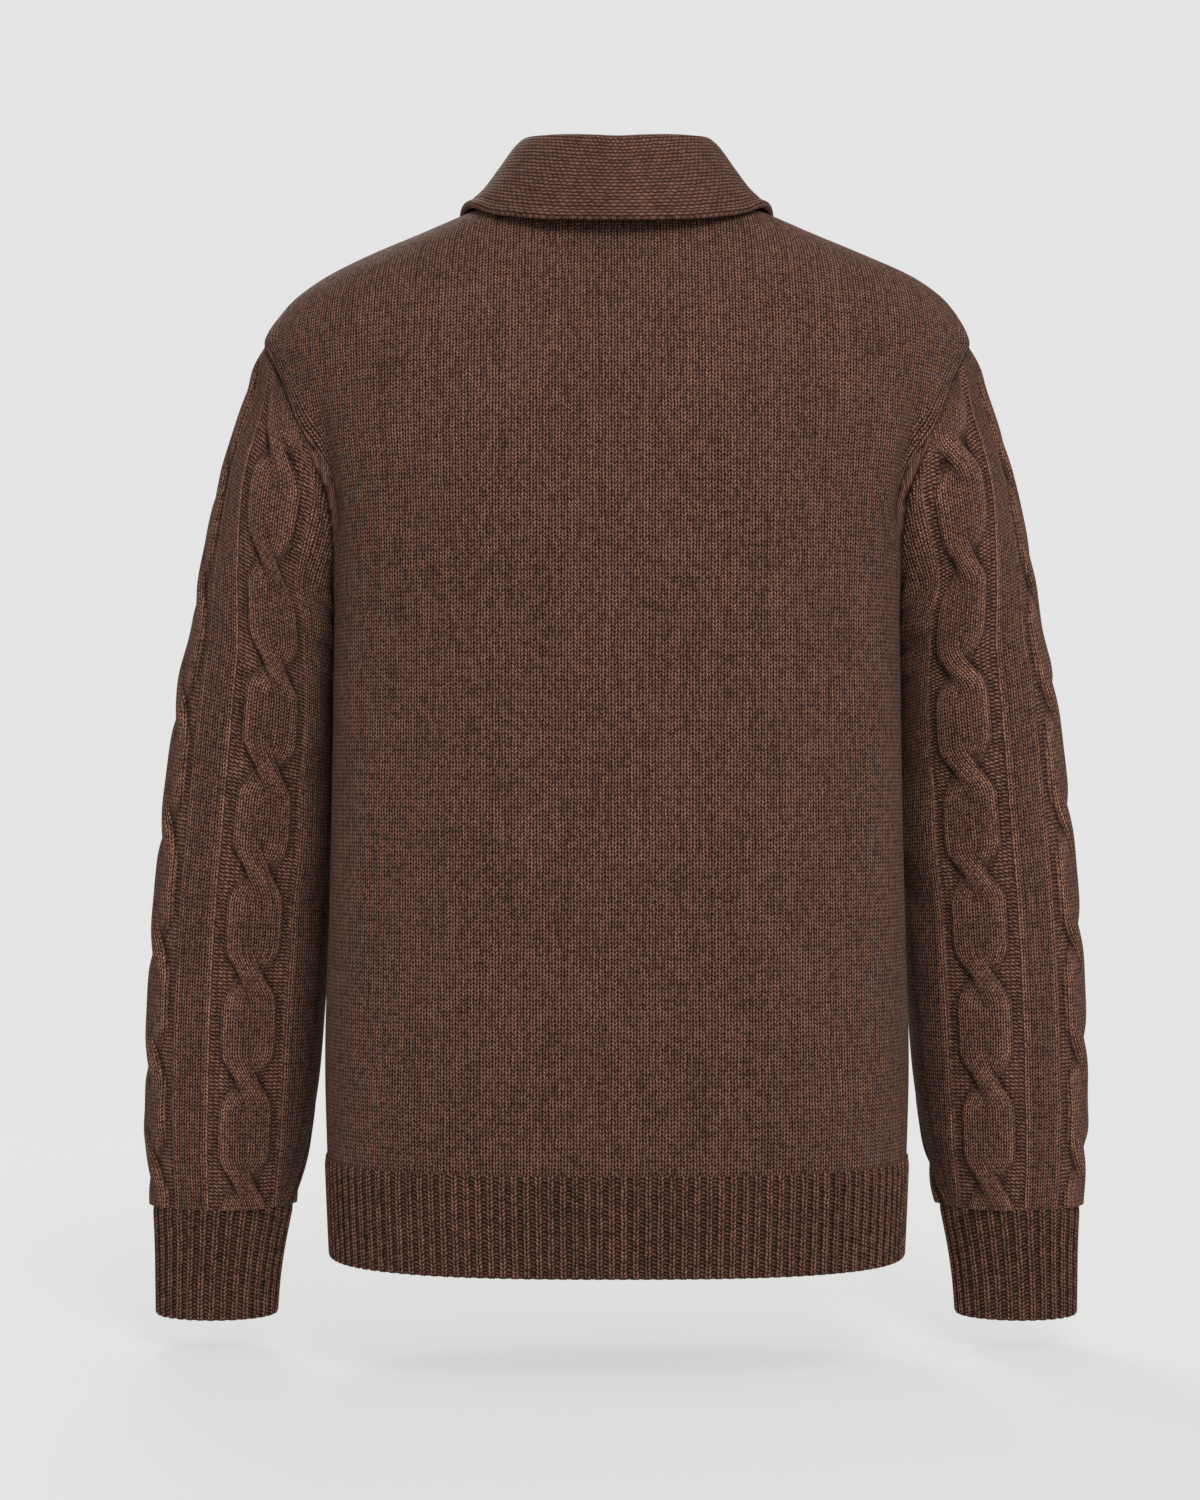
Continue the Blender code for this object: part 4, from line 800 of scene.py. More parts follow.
def panel_half(side, shares, angles, hand):
    """Outer grid, normals and UVs of half a body panel, for the wearer's left (hand 1) or right."""
    seam, rim, gap = seam_frames(angles)
    seam_run = run_along(seam)
    seam_shares = seam_run / seam_run[-1]
    levels = np.linspace(HEM_TOP + SEAM_GAP / 2, UNDERARM, LOW_ROWS + 1)[:-1]
    shoulder_length = run_along(panel_path(side, NECK_SHARE))[-1]
    columns = []
    runs = []
    for share in shares:
        inner = front_edge_x(levels) if side < 0 else 0 * levels
        low = body_outside(inner + share * (panel_edge(levels) - inner), levels, side)
        high, where = seam, seam_run
        if share < 1:
            path = panel_path(side, share)
            run = run_along(path)
            where = seam_shares * run[-1]
            if side > 0 and share < NECK_SHARE:
                # The neck's columns keep the rows of the one beside them, and close up at the top.
                where = shoulder_length * (seam_shares - seam_shares**3) + run[-1] * seam_shares**3
            high = resampled(path, run, where)
        columns.append(np.concatenate([low, high]))
        runs.append(np.concatenate([levels - HEM_TOP, UNDERARM - HEM_TOP + where]))
    grid = np.stack(columns, axis=1)
    normals = torso_normal(grid)
    v = np.stack(runs, axis=1) / COURSE
    count = level_arc(np.abs(grid[..., 0]), grid[..., 2], side) / WALE
    # A few wales beside the armhole run along it, where the knitted panel was narrowed.
    beside = np.broadcast_to(HALF_WALES - (1 - shares) * STRIP_SCALE / WALE, v.shape)
    corners, strip = (face_corners(np.stack([hand * u, v], axis=-1)) for u in (count, beside))
    along_edge = shares[:-1] > STRIP_SHARE - 1e-6
    corners[LOW_ROWS:, along_edge] = strip[LOW_ROWS:, along_edge]
    edge_run = np.linalg.norm(grid - grid[:, -1:], axis=-1)
    upper = np.arange(len(grid))[:, None] >= LOW_ROWS
    lift = body_folds(grid[..., 0] * hand, grid[..., 2], side)
    lift *= smooth(edge_run / FOLDS_FROM_SEAM) * smooth((grid[..., 2] - HEM_TOP) / FOLDS_FROM_HEM)
    lift -= np.where(upper, SEAM_DENT * bell(edge_run / SEAM_DENT_WIDTH), 0)
    lift -= crease_depth(grid[..., 0], grid[..., 2])
    lift += seam_fill(grid[:, -1:, 2]) * bell(edge_run / SEAM_FILL_REACH)
    grid = grid + normals * lift[..., None]
    normals[LOW_ROWS:, -1] = rim
    edge_lift = seam_fill(seam[:, 2:]) - SEAM_DENT
    grid[LOW_ROWS:, -1] = seam - gap * SEAM_GAP / 2 + rim * edge_lift
    toward = unit(grid[-2] - grid[-1])
    grid[-1, :-1] += toward[:-1] * SEAM_GAP / 2
    grid[: LOW_ROWS + 1, -1, 1] += side * SEAM_GAP / 2
    return grid * (hand, 1, 1), normals * (hand, 1, 1), corners


def thinned(grid, *steps):
    rows, columns = (
        np.unique(np.append(np.arange(0, size, step), size - 1))
        for size, step in zip(grid.shape, steps)
    )
    return grid[rows][:, columns]


def panel_shares(count):
    """Columns of half a panel from its middle to its edge, closest at its seam."""
    plain = np.linspace(0, STRIP_SHARE, count)[:-1]
    return np.concatenate([plain, np.linspace(STRIP_SHARE, STRIP_END, 4), EDGE_SHARES])


def panel_piece(node, grid, normals, corners):
    return knit_piece(node, grid, corners, thinned(grid - normals * WALL, 2, 2), "knit")


def back_piece():
    angles = np.linspace(math.pi, SEAM_ANGLE, SEAM_ROWS)
    shares = np.union1d(panel_shares(52), [NECK_SHARE])
    left, right = (panel_half(1, shares, angles, hand) for hand in (1, -1))
    grid, normals = (np.concatenate([right[k][:, :0:-1], left[k]], axis=1) for k in range(2))
    # The right half's faces run the other way, so their corners change sides.
    corners = np.concatenate([right[2][:, ::-1][:, :, [1, 0, 3, 2]], left[2]], axis=1)
    return panel_piece("back", grid, normals, corners)


def front_piece(side_name, hand):
    angles = np.linspace(math.pi, 2 * math.pi + SEAM_ANGLE, SEAM_ROWS)
    grid, normals, corners = panel_half(-1, panel_shares(42), angles, hand)
    grid[:, 0, 0] += hand * SEAM_GAP / 2
    return panel_piece("front_" + side_name, grid, normals, corners)


# ---------------------------------------------------------------- sleeves
def axis_turns(points, angles):
    """Turns of a ring's points round the upper sleeve's axis, from -pi to pi with its angles."""
    share = (points[..., 2] - UPPER_AXIS[0, 2]) / (UPPER_AXIS[1, 2] - UPPER_AXIS[0, 2])
    middle = UPPER_AXIS[0] + share[..., None] * (UPPER_AXIS[1] - UPPER_AXIS[0])
    turns = np.unwrap(np.arctan2(points[..., 1] - middle[..., 1], points[..., 0] - middle[..., 0]))
    turns = turns - 2 * math.pi * np.round(turns[len(turns) // 2] / (2 * math.pi))
    turns = turns - (turns[-1] - math.pi) * np.abs(angles) / math.pi
    return np.maximum.accumulate(turns) + 1e-6 * angles


def axis_height(points):
    """Height of points up the upper sleeve's axis."""
    return points @ unit(UPPER_AXIS[0] - UPPER_AXIS[1])


def ring_middle(distance):
    return sleeve_ring(np.linspace(-math.pi, math.pi, 361)[:-1], distance).mean(axis=0)


UPPER_AXIS = np.stack([ring_middle(COLUMNS_PARALLEL_TO), ring_middle(2 * COLUMNS_PARALLEL_TO)])


def ring_columns(distance):
    """Angles round one ring, and pattern places on the left and right of each column of faces."""
    read = max(distance, COLUMNS_PARALLEL_TO)
    angles, points, run = ring_run(read, 361)
    girth = run[-1] - run[0]
    scale = (girth / PATTERN_GIRTH) ** 0.5
    shift = -np.interp(read, column(MIDDLE_SHIFT, 0), column(MIDDLE_SHIFT, 1))
    half = np.linspace(0, PATTERN_LIMIT, HALF_PLACES)
    forward = shift + scale * half
    backward = shift + girth - scale * half[::-1]
    seam = girth / 2 + shift * smooth((read - COLUMNS_PARALLEL_TO) / 0.20)
    down = np.linspace(forward[-1], seam, UNDER_PLACES + 1)[1:]
    up = np.linspace(seam, backward[0], UNDER_PLACES + 1)[1:]
    runs = np.concatenate([forward, down, up, backward[1:]])
    past = runs > run[-1]
    found = np.interp(np.where(past, runs - girth, runs), run, angles)
    if distance < read:
        # Above the straight part each column goes on along the sleeve's axis, up to the seam.
        wanted = np.interp(found, angles, axis_turns(points, angles))
        found = np.interp(wanted, axis_turns(sleeve_ring(angles, distance), angles), angles)
    before = (runs - shift) / scale
    return found + np.where(past, 2 * math.pi, 0), before, before - girth / scale


def strand_swing(along, pitch, first_cross, lean, crossing=None):
    """Offset of the upper strand from the cable's middle, in half widths, and its crossing."""
    turn = (along - first_cross) / pitch
    from_cross = turn - (np.round(turn) if crossing is None else crossing)
    swing = np.sin(np.clip(from_cross / STRAND_CROSSES_OVER, -1, 1) * math.pi / 2)
    return -STRAND_SWING * lean * swing, from_cross


def rounded(value, power):
    """Height of a rounded section, 0 from the value 1 on."""
    return np.clip(1 - np.abs(value) ** power, 0, 1) ** STRAND_ROUNDNESS


def cable_forms(across, along, pitch, first_cross, lean):
    """Heights of a cable's upper and lower strand, and of the lobe that they make together."""
    offset, from_cross = strand_swing(along, pitch, first_cross, lean)
    across = across / (1 - WAIST_DEPTH * bell(from_cross / WAIST_REACH))
    near = bell(from_cross / CROSSING_REACH)
    upper = (1 + UPPER_LIFT * near) * rounded((across - offset) / STRAND_HALF_WIDTH, 2)
    lower = (1 - LOWER_SINK * near) * rounded((across + offset) / STRAND_HALF_WIDTH, 2)
    joined = smooth((np.abs(from_cross) - LOBE_FROM) / LOBE_FADE)
    return upper, lower, LOBE_HEIGHT * joined * rounded(across / LOBE_HALF_WIDTH, 5)


def sleeve_pattern(place, along, lean):
    """Relief height, purl share, strand (0 plain, 1 upper, -1 lower), cable, and the share of a
    painted highlight on the strands' rims and the ridges beside the cables.
    """
    height = np.full(place.shape, PLAIN_HEIGHT)
    purl, rim = np.zeros((2,) + place.shape)
    which = np.zeros(place.shape, int)
    cable = np.full(place.shape, -1)
    for number, (side, middle, pitch, first_cross) in enumerate(CABLES):
        across = (place - side * middle) / CABLE_HALF_WIDTH
        beyond = np.abs(across) - (CABLE_APART - PLAIN_EDGE) / CABLE_HALF_WIDTH
        inside = beyond < 0
        upper, lower, lobe = cable_forms(across, along, pitch, first_cross, lean)
        raised = CABLE_HEIGHT * np.maximum(np.maximum(upper, lower), lobe)
        edge = PLAIN_HEIGHT * smooth((beyond + 0.05) / 0.10)
        ridge = bell((beyond - RIDGE_PLACE) / RIDGE_WIDTH)
        height = np.where(inside, np.maximum(edge, raised), height) + RIDGE_HEIGHT * ridge
        purl = np.where(inside, 1 - smooth(raised / PURL_BELOW), purl)
        which = np.where(inside & (upper >= lower) & (upper > 0), 1, which)
        which = np.where(inside & (lower > upper), -1, which)
        cable = np.where(inside, number, cable)
        # Painted highlight along each strand's rim, and on the ridge beside the cable.
        on_rim = bell((raised / CABLE_HEIGHT - RIM_PLACE) / RIM_WIDTH)
        rim = np.where(inside, on_rim, rim) + ridge
    return height, purl, which, cable, rim


def painted_shading_of(height):
    """How far each point of a closed relief lies below the relief round it, from -0.5 to 1: painted
    shade in its hollows, painted highlight where it stands above.
    """
    reach = range(-CAVITY_REACH, CAVITY_REACH + 1)
    smoothed = height
    for _ in range(2):
        smoothed = sum(np.roll(smoothed, shift, axis=1) for shift in reach) / len(reach)
        padded = np.pad(smoothed, ((CAVITY_REACH, CAVITY_REACH), (0, 0)), mode="edge")
        smoothed = sum(padded[k : k + len(height)] for k in range(len(reach))) / len(reach)
    return np.clip((smoothed - height) / CAVITY_SCALE, -0.5, 1)


def sleeve_uvs(left, right, along, lean):
    """Corner UVs of the sleeve's faces: in a cable they follow the strand that lies on top."""
    near, far = along, np.roll(along, -1, axis=1)
    middle_along = (near[:-1] + near[1:] + far[:-1] + far[1:]) / 4
    middle_place = (left[:-1] + right[:-1]) / 2
    _, _, which, cable, _ = sleeve_pattern(middle_place, middle_along, lean)
    corners = []
    for places, reach, row in ((left, near, 0), (right, far, 0), (right, far, 1), (left, near, 1)):
        place, at = (grid[row : row + len(left) - 1] for grid in (places, reach))
        u = place / WALE
        for number, (side, middle, pitch, first_cross) in enumerate(CABLES):
            crossing = np.round((middle_along - first_cross) / pitch)
            offset, _ = strand_swing(at, pitch, first_cross, lean, crossing)
            strand_u = (place - side * middle - which * offset * CABLE_HALF_WIDTH) / CABLE_WALE
            u = np.where(cable == number, strand_u + 0.5, u)
        corners.append(np.stack([u, at / COURSE], axis=-1))
    return np.stack(corners, axis=2)


def sleeve_piece(side_name, hand):
    distances = np.linspace(0, SLEEVE_LENGTH, SLEEVE_RINGS + 1)
    rings = [ring_columns(distance) for distance in distances]
    turns, before, after = (np.stack([ring[k] for ring in rings]) for k in range(3))
    turns = turns[:, :-1]
    base = np.stack([sleeve_ring(angles, at) for angles, at in zip(turns, distances)])
    around = np.roll(base, -1, axis=1) - np.roll(base, 1, axis=1)
    normals = unit(np.cross(np.gradient(base, axis=0), around))
    normals *= np.sign(np.sum(normals * (base - base.mean(axis=1, keepdims=True))))
    seam_column = HALF_PLACES + UNDER_PLACES - 1
    seam_turns = turns[0].copy()
    seam_turns[seam_column] = math.pi
    points, rim, gap = seam_frames(seam_turns)
    base[0] = points + gap * SEAM_GAP / 2
    blend = smooth(distances / SEAM_BLEND)[:, None, None]
    normals = unit(normals * blend + rim[None] * (1 - blend))
    base[-1, :, 2] = CUFF_TOP + SEAM_GAP / 2
    normals[-1, :, 2] = 0
    normals = unit(normals)
    along = np.repeat((SLEEVE_LENGTH - distances)[:, None], base.shape[1], axis=1)
    straight = int(np.argmax(distances >= COLUMNS_PARALLEL_TO))
    rise = axis_height(base[:straight]) - axis_height(base[straight])
    along[:straight] = along[straight] + rise
    # Columns up to the seam count from the front of the pattern, the others from its back.
    numbers = np.arange(base.shape[1])
    place = np.where(numbers <= seam_column, before[:, :-1], after[:, :-1])
    left = np.where(numbers < seam_column, before[:, :-1], after[:, :-1])
    right = np.where(numbers < seam_column, before[:, 1:], after[:, 1:])
    height, purl, _, _, bright = sleeve_pattern(place, along, hand)
    down = distances[:, None]
    height = height * smooth(down / CABLE_FADE) - SEAM_DENT * bell(down / SEAM_DENT_WIDTH)
    under = np.abs(numbers - seam_column) * UNDER_COLUMN
    height = height - UNDER_SEAM_DENT * bell(under / SEAM_DENT_WIDTH)
    fold = sleeve_folds(np.degrees(turns), down) * smooth(down / FOLDS_FROM_ENDS)
    fold = fold * smooth(along / FOLDS_FROM_ENDS)
    from_seam = np.linalg.norm(base - base[0], axis=-1)
    fold = fold + seam_fill(points[:, 2]) * bell(from_seam / SEAM_FILL_REACH)
    outer = base + normals * (height + fold)[..., None]
    inner = thinned(base + normals * (fold - WALL)[..., None], 5, 4)
    outer, inner = (grid * (hand, 1, 1) for grid in (outer, inner))
    corners = sleeve_uvs(left, right, along, hand) * (hand, 1)
    # Painted shade in the relief's hollows, and a painted highlight on its tops, the strands' rims
    # and the ridges.
    painted_shading = painted_shading_of(height) - RIM_PAINTED_HIGHLIGHT * bright
    return knit_piece("sleeve_" + side_name, outer, corners, inner, "knit", True, purl, painted_shading)


# ---------------------------------------------------------------- ribs
def ribbed_piece(node, path_at, levels, closed, hand):
    """A ribbed wall; path_at gives the dense level run at a height."""
    count = round(run_along(path_at(levels[0]))[-1] / RIB_PITCH)
    places = (np.arange(count)[:, None] + column(RIB_SECTION, 0)).reshape(-1)
    heights = np.tile(column(RIB_SECTION, 1), count)
    if not closed:
        places = np.append(places, count)
        heights = np.append(heights, 0.0)
    rows = []
    inner = []
    for z in levels:
        dense = path_at(z)
        run = run_along(dense)
        points = resampled(dense, run, places / count * run[-1])
        if closed:
            around = np.roll(points, -1, axis=0) - np.roll(points, 1, axis=0)
        else:
            around = np.gradient(points, axis=0)
        normals = unit(around[:, [1, 0, 2]] * (1, -1, 0))
        above = z - levels[0]
        rise = above / (levels[-1] - levels[0])
        # The bottom edge rolls in, each rib's end a little lower than its purl, and the top eases.
        end = 1 - math.sqrt(max(0.0, 1 - max(0.0, 1 - above / RIB_ROLL) ** 2))
        eased = smooth((rise - RIB_EASE_FROM) / (1 - RIB_EASE_FROM))
        size = (1 - RIB_EASE * eased) * (1 - 0.5 * end)
        out = points + normals * (heights * RIB_HEIGHT * size - RIB_ROLL_DEPTH * end)[:, None]
        out[:, 2] += (1 - heights) * RIB_SCALLOP * smooth(1 - above / RIB_SCALLOP_REACH)
        rows.append(out)
        inner.append((points - normals * (WALL - 0.0003 * end))[::5])
    outer, inner = (grid * (hand, 1, 1) for grid in (np.stack(rows), np.stack(inner)[::2]))
    rib = np.floor(places)
    u = rib * 2 + np.interp(places - rib, (0, *KNIT_WALE, 1), (-0.5, 0, 1, 1.5))
    if closed:
        u = np.append(u, count * 2 - 0.5)
    corners = face_corners(np.stack(np.meshgrid(u, (levels - levels[0]) / COURSE), axis=-1))
    purl = 1 - smooth((heights - 0.1) / 0.5)
    # Painted shade in the purl wales, painted highlight on the ribs' tops.
    painted_shading = RIB_PAINTED_SHADING * (0.5 - heights)
    return knit_piece(node, outer, corners, inner, "rib", closed, purl, painted_shading)


def cuff_path(z):
    angles = np.linspace(0, 2 * math.pi, 481)
    outer_x, inner_x, deep = (through(column(CUFF, 0), column(CUFF, k), z) for k in (1, 2, 3))
    x = (outer_x + inner_x) / 2 + (outer_x - inner_x) / 2 * np.cos(angles)
    y = SLEEVE[-1][5] + deep * np.sin(angles)
    return np.stack([x, y, np.full_like(x, z)], axis=-1)


def hem_path(z, start, end):
    """Level run of the torso's form, counter-clockwise between two angles from the front."""
    angles = np.linspace(start, end, 721)
    power = squareness(z)
    x = half_width(z) * np.sign(np.sin(angles)) * np.abs(np.sin(angles)) ** (2 / power)
    deep = np.where(np.cos(angles) > 0, depth(z, -1), depth(z, 1))
    y = -deep * np.sign(np.cos(angles)) * np.abs(np.cos(angles)) ** (2 / power)
    return np.stack([x, y, np.full_like(x, z)], axis=-1)


def back_hem_path(z):
    trim = SEAM_GAP / 2 / float(half_width(z))
    path = hem_path(z, math.pi / 2 + trim, 3 * math.pi / 2 - trim)
    path[[0, -1], 1] = SEAM_GAP / 2
    return path


def front_hem_path(z):
    x = BAND_HALF_WIDTH + SEAM_GAP / 2
    start = math.asin((x / float(half_width(z))) ** (float(squareness(z)) / 2))
    trim = SEAM_GAP / 2 / float(half_width(z))
    path = hem_path(z, start, math.pi / 2 - trim)
    path[-1, 1] = -SEAM_GAP / 2
    return path


def rib_levels(bottom, top):
    """Heights of a rib's rows: close at the rolled bottom edge and at the top."""
    low = bottom + np.array([0.0, 0.0004, 0.0010, 0.0022, 0.0045])
    high = top - SEAM_GAP / 2 - np.array([0.0060, 0.0040, 0.0020, 0.0])
    return np.concatenate([low, np.linspace(low[-1], high[0], 8)[1:-1], high])


# ---------------------------------------------------------------- bands and collar
def chest_point(x, z, lift):
    y = -(torso_y(x, z, -1) + lift)
    return np.stack(np.broadcast_arrays(x, y, z), axis=-1)


def strip_lift(z, hand):
    """How far the collar's left end is lifted, where it lies on the right one."""
    if hand > 0:
        return STRIP_LIFT * (1 - smooth((z - STRIP_LIFT_FROM) / STRIP_LIFT_FADE))
    return 0.0


def mid_surface_piece(node, grid, across, along, wall, bead=0.0):
    """A wall over its middle surface, [along][across][xyz], with a rolled bead on its far edge."""
    normals = unit(np.cross(np.gradient(grid, axis=1), np.gradient(grid, axis=0)))
    from_edge = across[-1] - across
    if bead > 0:
        radius = bead * np.sqrt(np.clip(1 - ((from_edge - bead) / bead) ** 2, 0.004, 1))
        swell = bead + (wall / 2 - bead) * smooth((from_edge - bead) / (1.4 * bead))
        groove = BEAD_GROOVE * bell((from_edge - 3.0 * bead) / BEAD_GROOVE_WIDTH)
        half = np.where(from_edge < bead, radius, swell) - groove
    else:
        end = np.sqrt(np.clip(1 - (1 - from_edge / (wall / 2)) ** 2, 0.01, 1))
        half = wall / 2 * np.where(from_edge < wall / 2, end, 1)
    offset = normals * half[None, :, None]
    v, u = np.meshgrid(across / ROW_BUMP, along / COLLAR_STITCH)
    corners = face_corners(np.stack([u, v], axis=-1))
    return knit_piece(node, grid + offset, corners, grid - offset, "collar", purl=1.0)


def band_piece(side_name, hand):
    across = np.linspace(0, UNDER_BAND_WIDTH, 24)
    lift = 0.0
    if hand > 0:
        # The left band steps up over the right one, beside its seam.
        step, width = 0.012, 2 * BAND_HALF_WIDTH
        across = np.concatenate([np.linspace(0, step, 14)[:-1], np.linspace(step, width, 22)])
    across[0] = SEAM_GAP / 2
    if hand > 0:
        lift = STRIP_LIFT * smooth((across - COLLAR_LEAD) / RAMP)
    heights = np.linspace(HEM_BOTTOM, V_BOTTOM - SEAM_GAP, 110)
    x, z = np.meshgrid(hand * (BAND_HALF_WIDTH - across), heights)
    grid = chest_point(x, z, lift - WALL / 2)
    return mid_surface_piece("band_" + side_name, grid, across, heights - heights[0], WALL)


def rested(points, lift):
    """Moves points out along the torso's normals until they lie a lift over its outside."""
    lower = points.copy()
    lower[..., 2] = np.minimum(points[..., 2], RIDGE_TOP)
    level = torso_level(lower)
    normals = torso_normal(lower)
    slope = (torso_level(lower + normals * SMALL_STEP) - level) / SMALL_STEP
    height = (level - 1) / np.maximum(slope, 1.0)
    short = np.where(points[..., 2] < RIDGE_TOP, lift - height, 0.0)
    return points + normals * np.maximum(short, 0.0)[..., None]


def collar_seam():
    """Points, normals and runs of the neck seam, from the band's top to the middle back."""
    low_z = np.linspace(V_BOTTOM, UNDERARM, 60)[:-1]
    low = body_outside(front_edge_x(low_z), low_z, -1)
    back_x = np.linspace(NECK_HALF_WIDTH * 0.995, 0, 80)
    back = body_outside(back_x, neck_edge_z(back_x), 1)
    points = np.concatenate([low, panel_path(-1, 0.0), back])
    normals = torso_normal(points)
    runs = run_along(points)
    front = points[:, 1] < 0
    starts = np.interp(COLLAR_SECTION_Z, points[front, 2], runs[front])
    rest = np.linspace(starts[-1], runs[-1], COLLAR_UPPER_SECTIONS + 1)[1:]
    where = np.concatenate([starts, rest])
    return resampled(points, runs, where), unit(resampled(normals, runs, where)), where


def collar_rows(hand, seam, runs):
    """Run along the seam, fold, edge, roll and radius, for one half of the collar."""
    start = COLLAR_START_LEFT if hand > 0 else COLLAR_START_RIGHT
    front = seam[:, 1] < 0
    rows = []
    for seam_z, fold_x, fold_z, edge_x, edge_z, roll, radius in start + COLLAR_CHEST:
        run = np.interp(seam_z, seam[front, 2], runs[front])
        lift = FOLD_LIFT * smooth((seam_z - FOLD_LIFT_FROM) / FOLD_LIFT_FADE)
        fold = chest_point(fold_x, fold_z, lift - WALL / 2)
        edge = chest_point(edge_x, edge_z, COLLAR_REST + strip_lift(seam_z, hand))
        rows.append((run, fold, edge, roll, radius))
    radius = COLLAR_CHEST[-1][-1]
    for seam_x, side, *rest in COLLAR_NECK:
        # The seam's x grows up the front and falls toward the middle back.
        part = front if side < 0 else ~front
        run = np.interp(-side * seam_x, -side * seam[part, 0], runs[part])
        rows.append((run, np.array(rest[:3]), np.array(rest[3:]), 1.0, radius))
    return rows


def collar_section(seam, normal, along, fold, edge, roll, radius, hand):
    """One section of the collar from its seam over the fold to its free edge."""
    inward = unit(np.cross(along, normal))
    inward = inward * np.sign(np.dot(inward, fold - seam))
    start = seam - normal * WALL / 2 + inward * COLLAR_SEAT
    lead = start + inward * COLLAR_LEAD
    rise = unit(fold - lead)
    outward = unit(np.cross(along, rise))
    foot = fold - rise * radius
    width = np.linalg.norm(foot - lead)
    stand = lead + rise * np.array((0.0, RAMP, (RAMP + width) / 2, width))[:, None]
    lifted = strip_lift(float(seam[2]), hand)
    if lifted > 0:
        ramp = smooth((np.linalg.norm(stand - start, axis=-1) - COLLAR_LEAD) / RAMP)
        stand = rested(stand, lifted * ramp - WALL / 2)
        foot = stand[-1]
    turn = math.pi * max(roll, 0.004)
    bend = math.pi * radius / turn
    angles = turn * np.array((0.2, 0.4, 0.6, 0.8, 1.0))[:, None]
    arc = foot + bend * (rise * np.sin(angles) + outward * (1 - np.cos(angles)))
    heading = rise * math.cos(turn) + outward * math.sin(turn)
    free = arc[-1] + heading * math.hypot(edge[0] - fold[0], edge[2] - fold[2])
    end = free + (edge - free) * smooth((roll - 0.6) / 0.4)
    fall = arc[-1] + (end - arc[-1]) * np.array((0.33, 0.67, 1.0))[:, None]
    if roll > 0.9:
        for _ in range(3):
            fall = rested(fall, COLLAR_REST + lifted)
    return np.concatenate([start[None], stand, arc, fall])


def collar_half(hand):
    """Sections of one half from the top of its band to the middle of the back neck."""
    seam, normals, runs = collar_seam()
    rows = collar_rows(hand, seam, runs)
    knots, folds, edges, rolls, radii = (np.array([row[k] for row in rows]) for k in range(5))
    along = np.gradient(seam, runs, axis=0)
    along[-1] = (-1.0, 0.0, 0.0)
    along = unit(along)
    normals[-1, 0] = 0
    sections = []
    for index, run in enumerate(runs):
        fold, edge, radius = (through(knots, values, run) for values in (folds, edges, radii))
        roll = float(np.interp(run, knots, rolls))
        here = (seam[index], normals[index], along[index])
        sections.append(collar_section(*here, fold, edge, roll, float(radius), hand))
    # The lowest two sections stand straight over each other, to meet the band's top squarely.
    sections[0] = sections[1].copy()
    sections[0][:, 2] = V_BOTTOM
    sections[1][:, 2] = V_BOTTOM + COLLAR_LEAD
    return np.array(sections) * (hand, 1, 1), runs


def collar_piece():
    left, runs = collar_half(1)
    right, _ = collar_half(-1)
    coarse = np.concatenate([left, right[-2::-1]])
    run = np.concatenate([runs, 2 * runs[-1] - runs[-2::-1]])
    along = np.linspace(run[0], run[-1], COLLAR_ROWS)
    width = run_along(coarse[len(runs) - 1])
    plain = np.linspace(0, width[-1] - COLLAR_EDGE, COLLAR_COLUMNS)[:-1]
    rolled = width[-1] - COLLAR_EDGE * (1 - np.sin(np.linspace(0, math.pi / 2, 16)))
    across = np.concatenate([plain, rolled])
    dense = np.swapaxes(through(run, coarse, along), 0, 1)
    grid = np.swapaxes(through(width, dense, across), 0, 1)
    return mid_surface_piece("shawl_collar", grid, across, along, COLLAR_WALL, COLLAR_BEAD)


# ---------------------------------------------------------------- buttons
def ring_of(bm, centre, first, second, steps):
    """A ring of vertices round a centre, from one direction toward another."""
    angles = np.arange(steps)[:, None] * 2 * math.pi / steps
    points = np.array(centre) + np.cos(angles) * first + np.sin(angles) * second
    return [bm.verts.new(point) for point in points.tolist()]


def join_rings(bm, rings):
    """Faces from ring to ring; the first and the last may be one vertex on the axis."""
    for lower, upper in zip(rings, rings[1:]):
        steps = max(len(lower), len(upper))
        for k in range(steps):
            after = (k + 1) % steps
            if len(lower) == 1:
                bm.faces.new((lower[0], upper[k], upper[after]))
            elif len(upper) == 1:
                bm.faces.new((lower[k], lower[after], upper[0]))
            else:
                bm.faces.new((lower[k], lower[after], upper[after], upper[k]))


def turned(profile, steps):
    """A mesh turned round +Z from radius and height pairs that start and end on the axis."""
    bm = bmesh.new()
    rings = []
    for radius, height in profile:
        sides = ((radius, 0, 0), (0, radius, 0))
        rings.append(ring_of(bm, (0, 0, height), *sides, steps if radius else 1))
    join_rings(bm, rings)
    bmesh.ops.recalc_face_normals(bm, faces=bm.faces)
    return mesh_of("turned", bm)


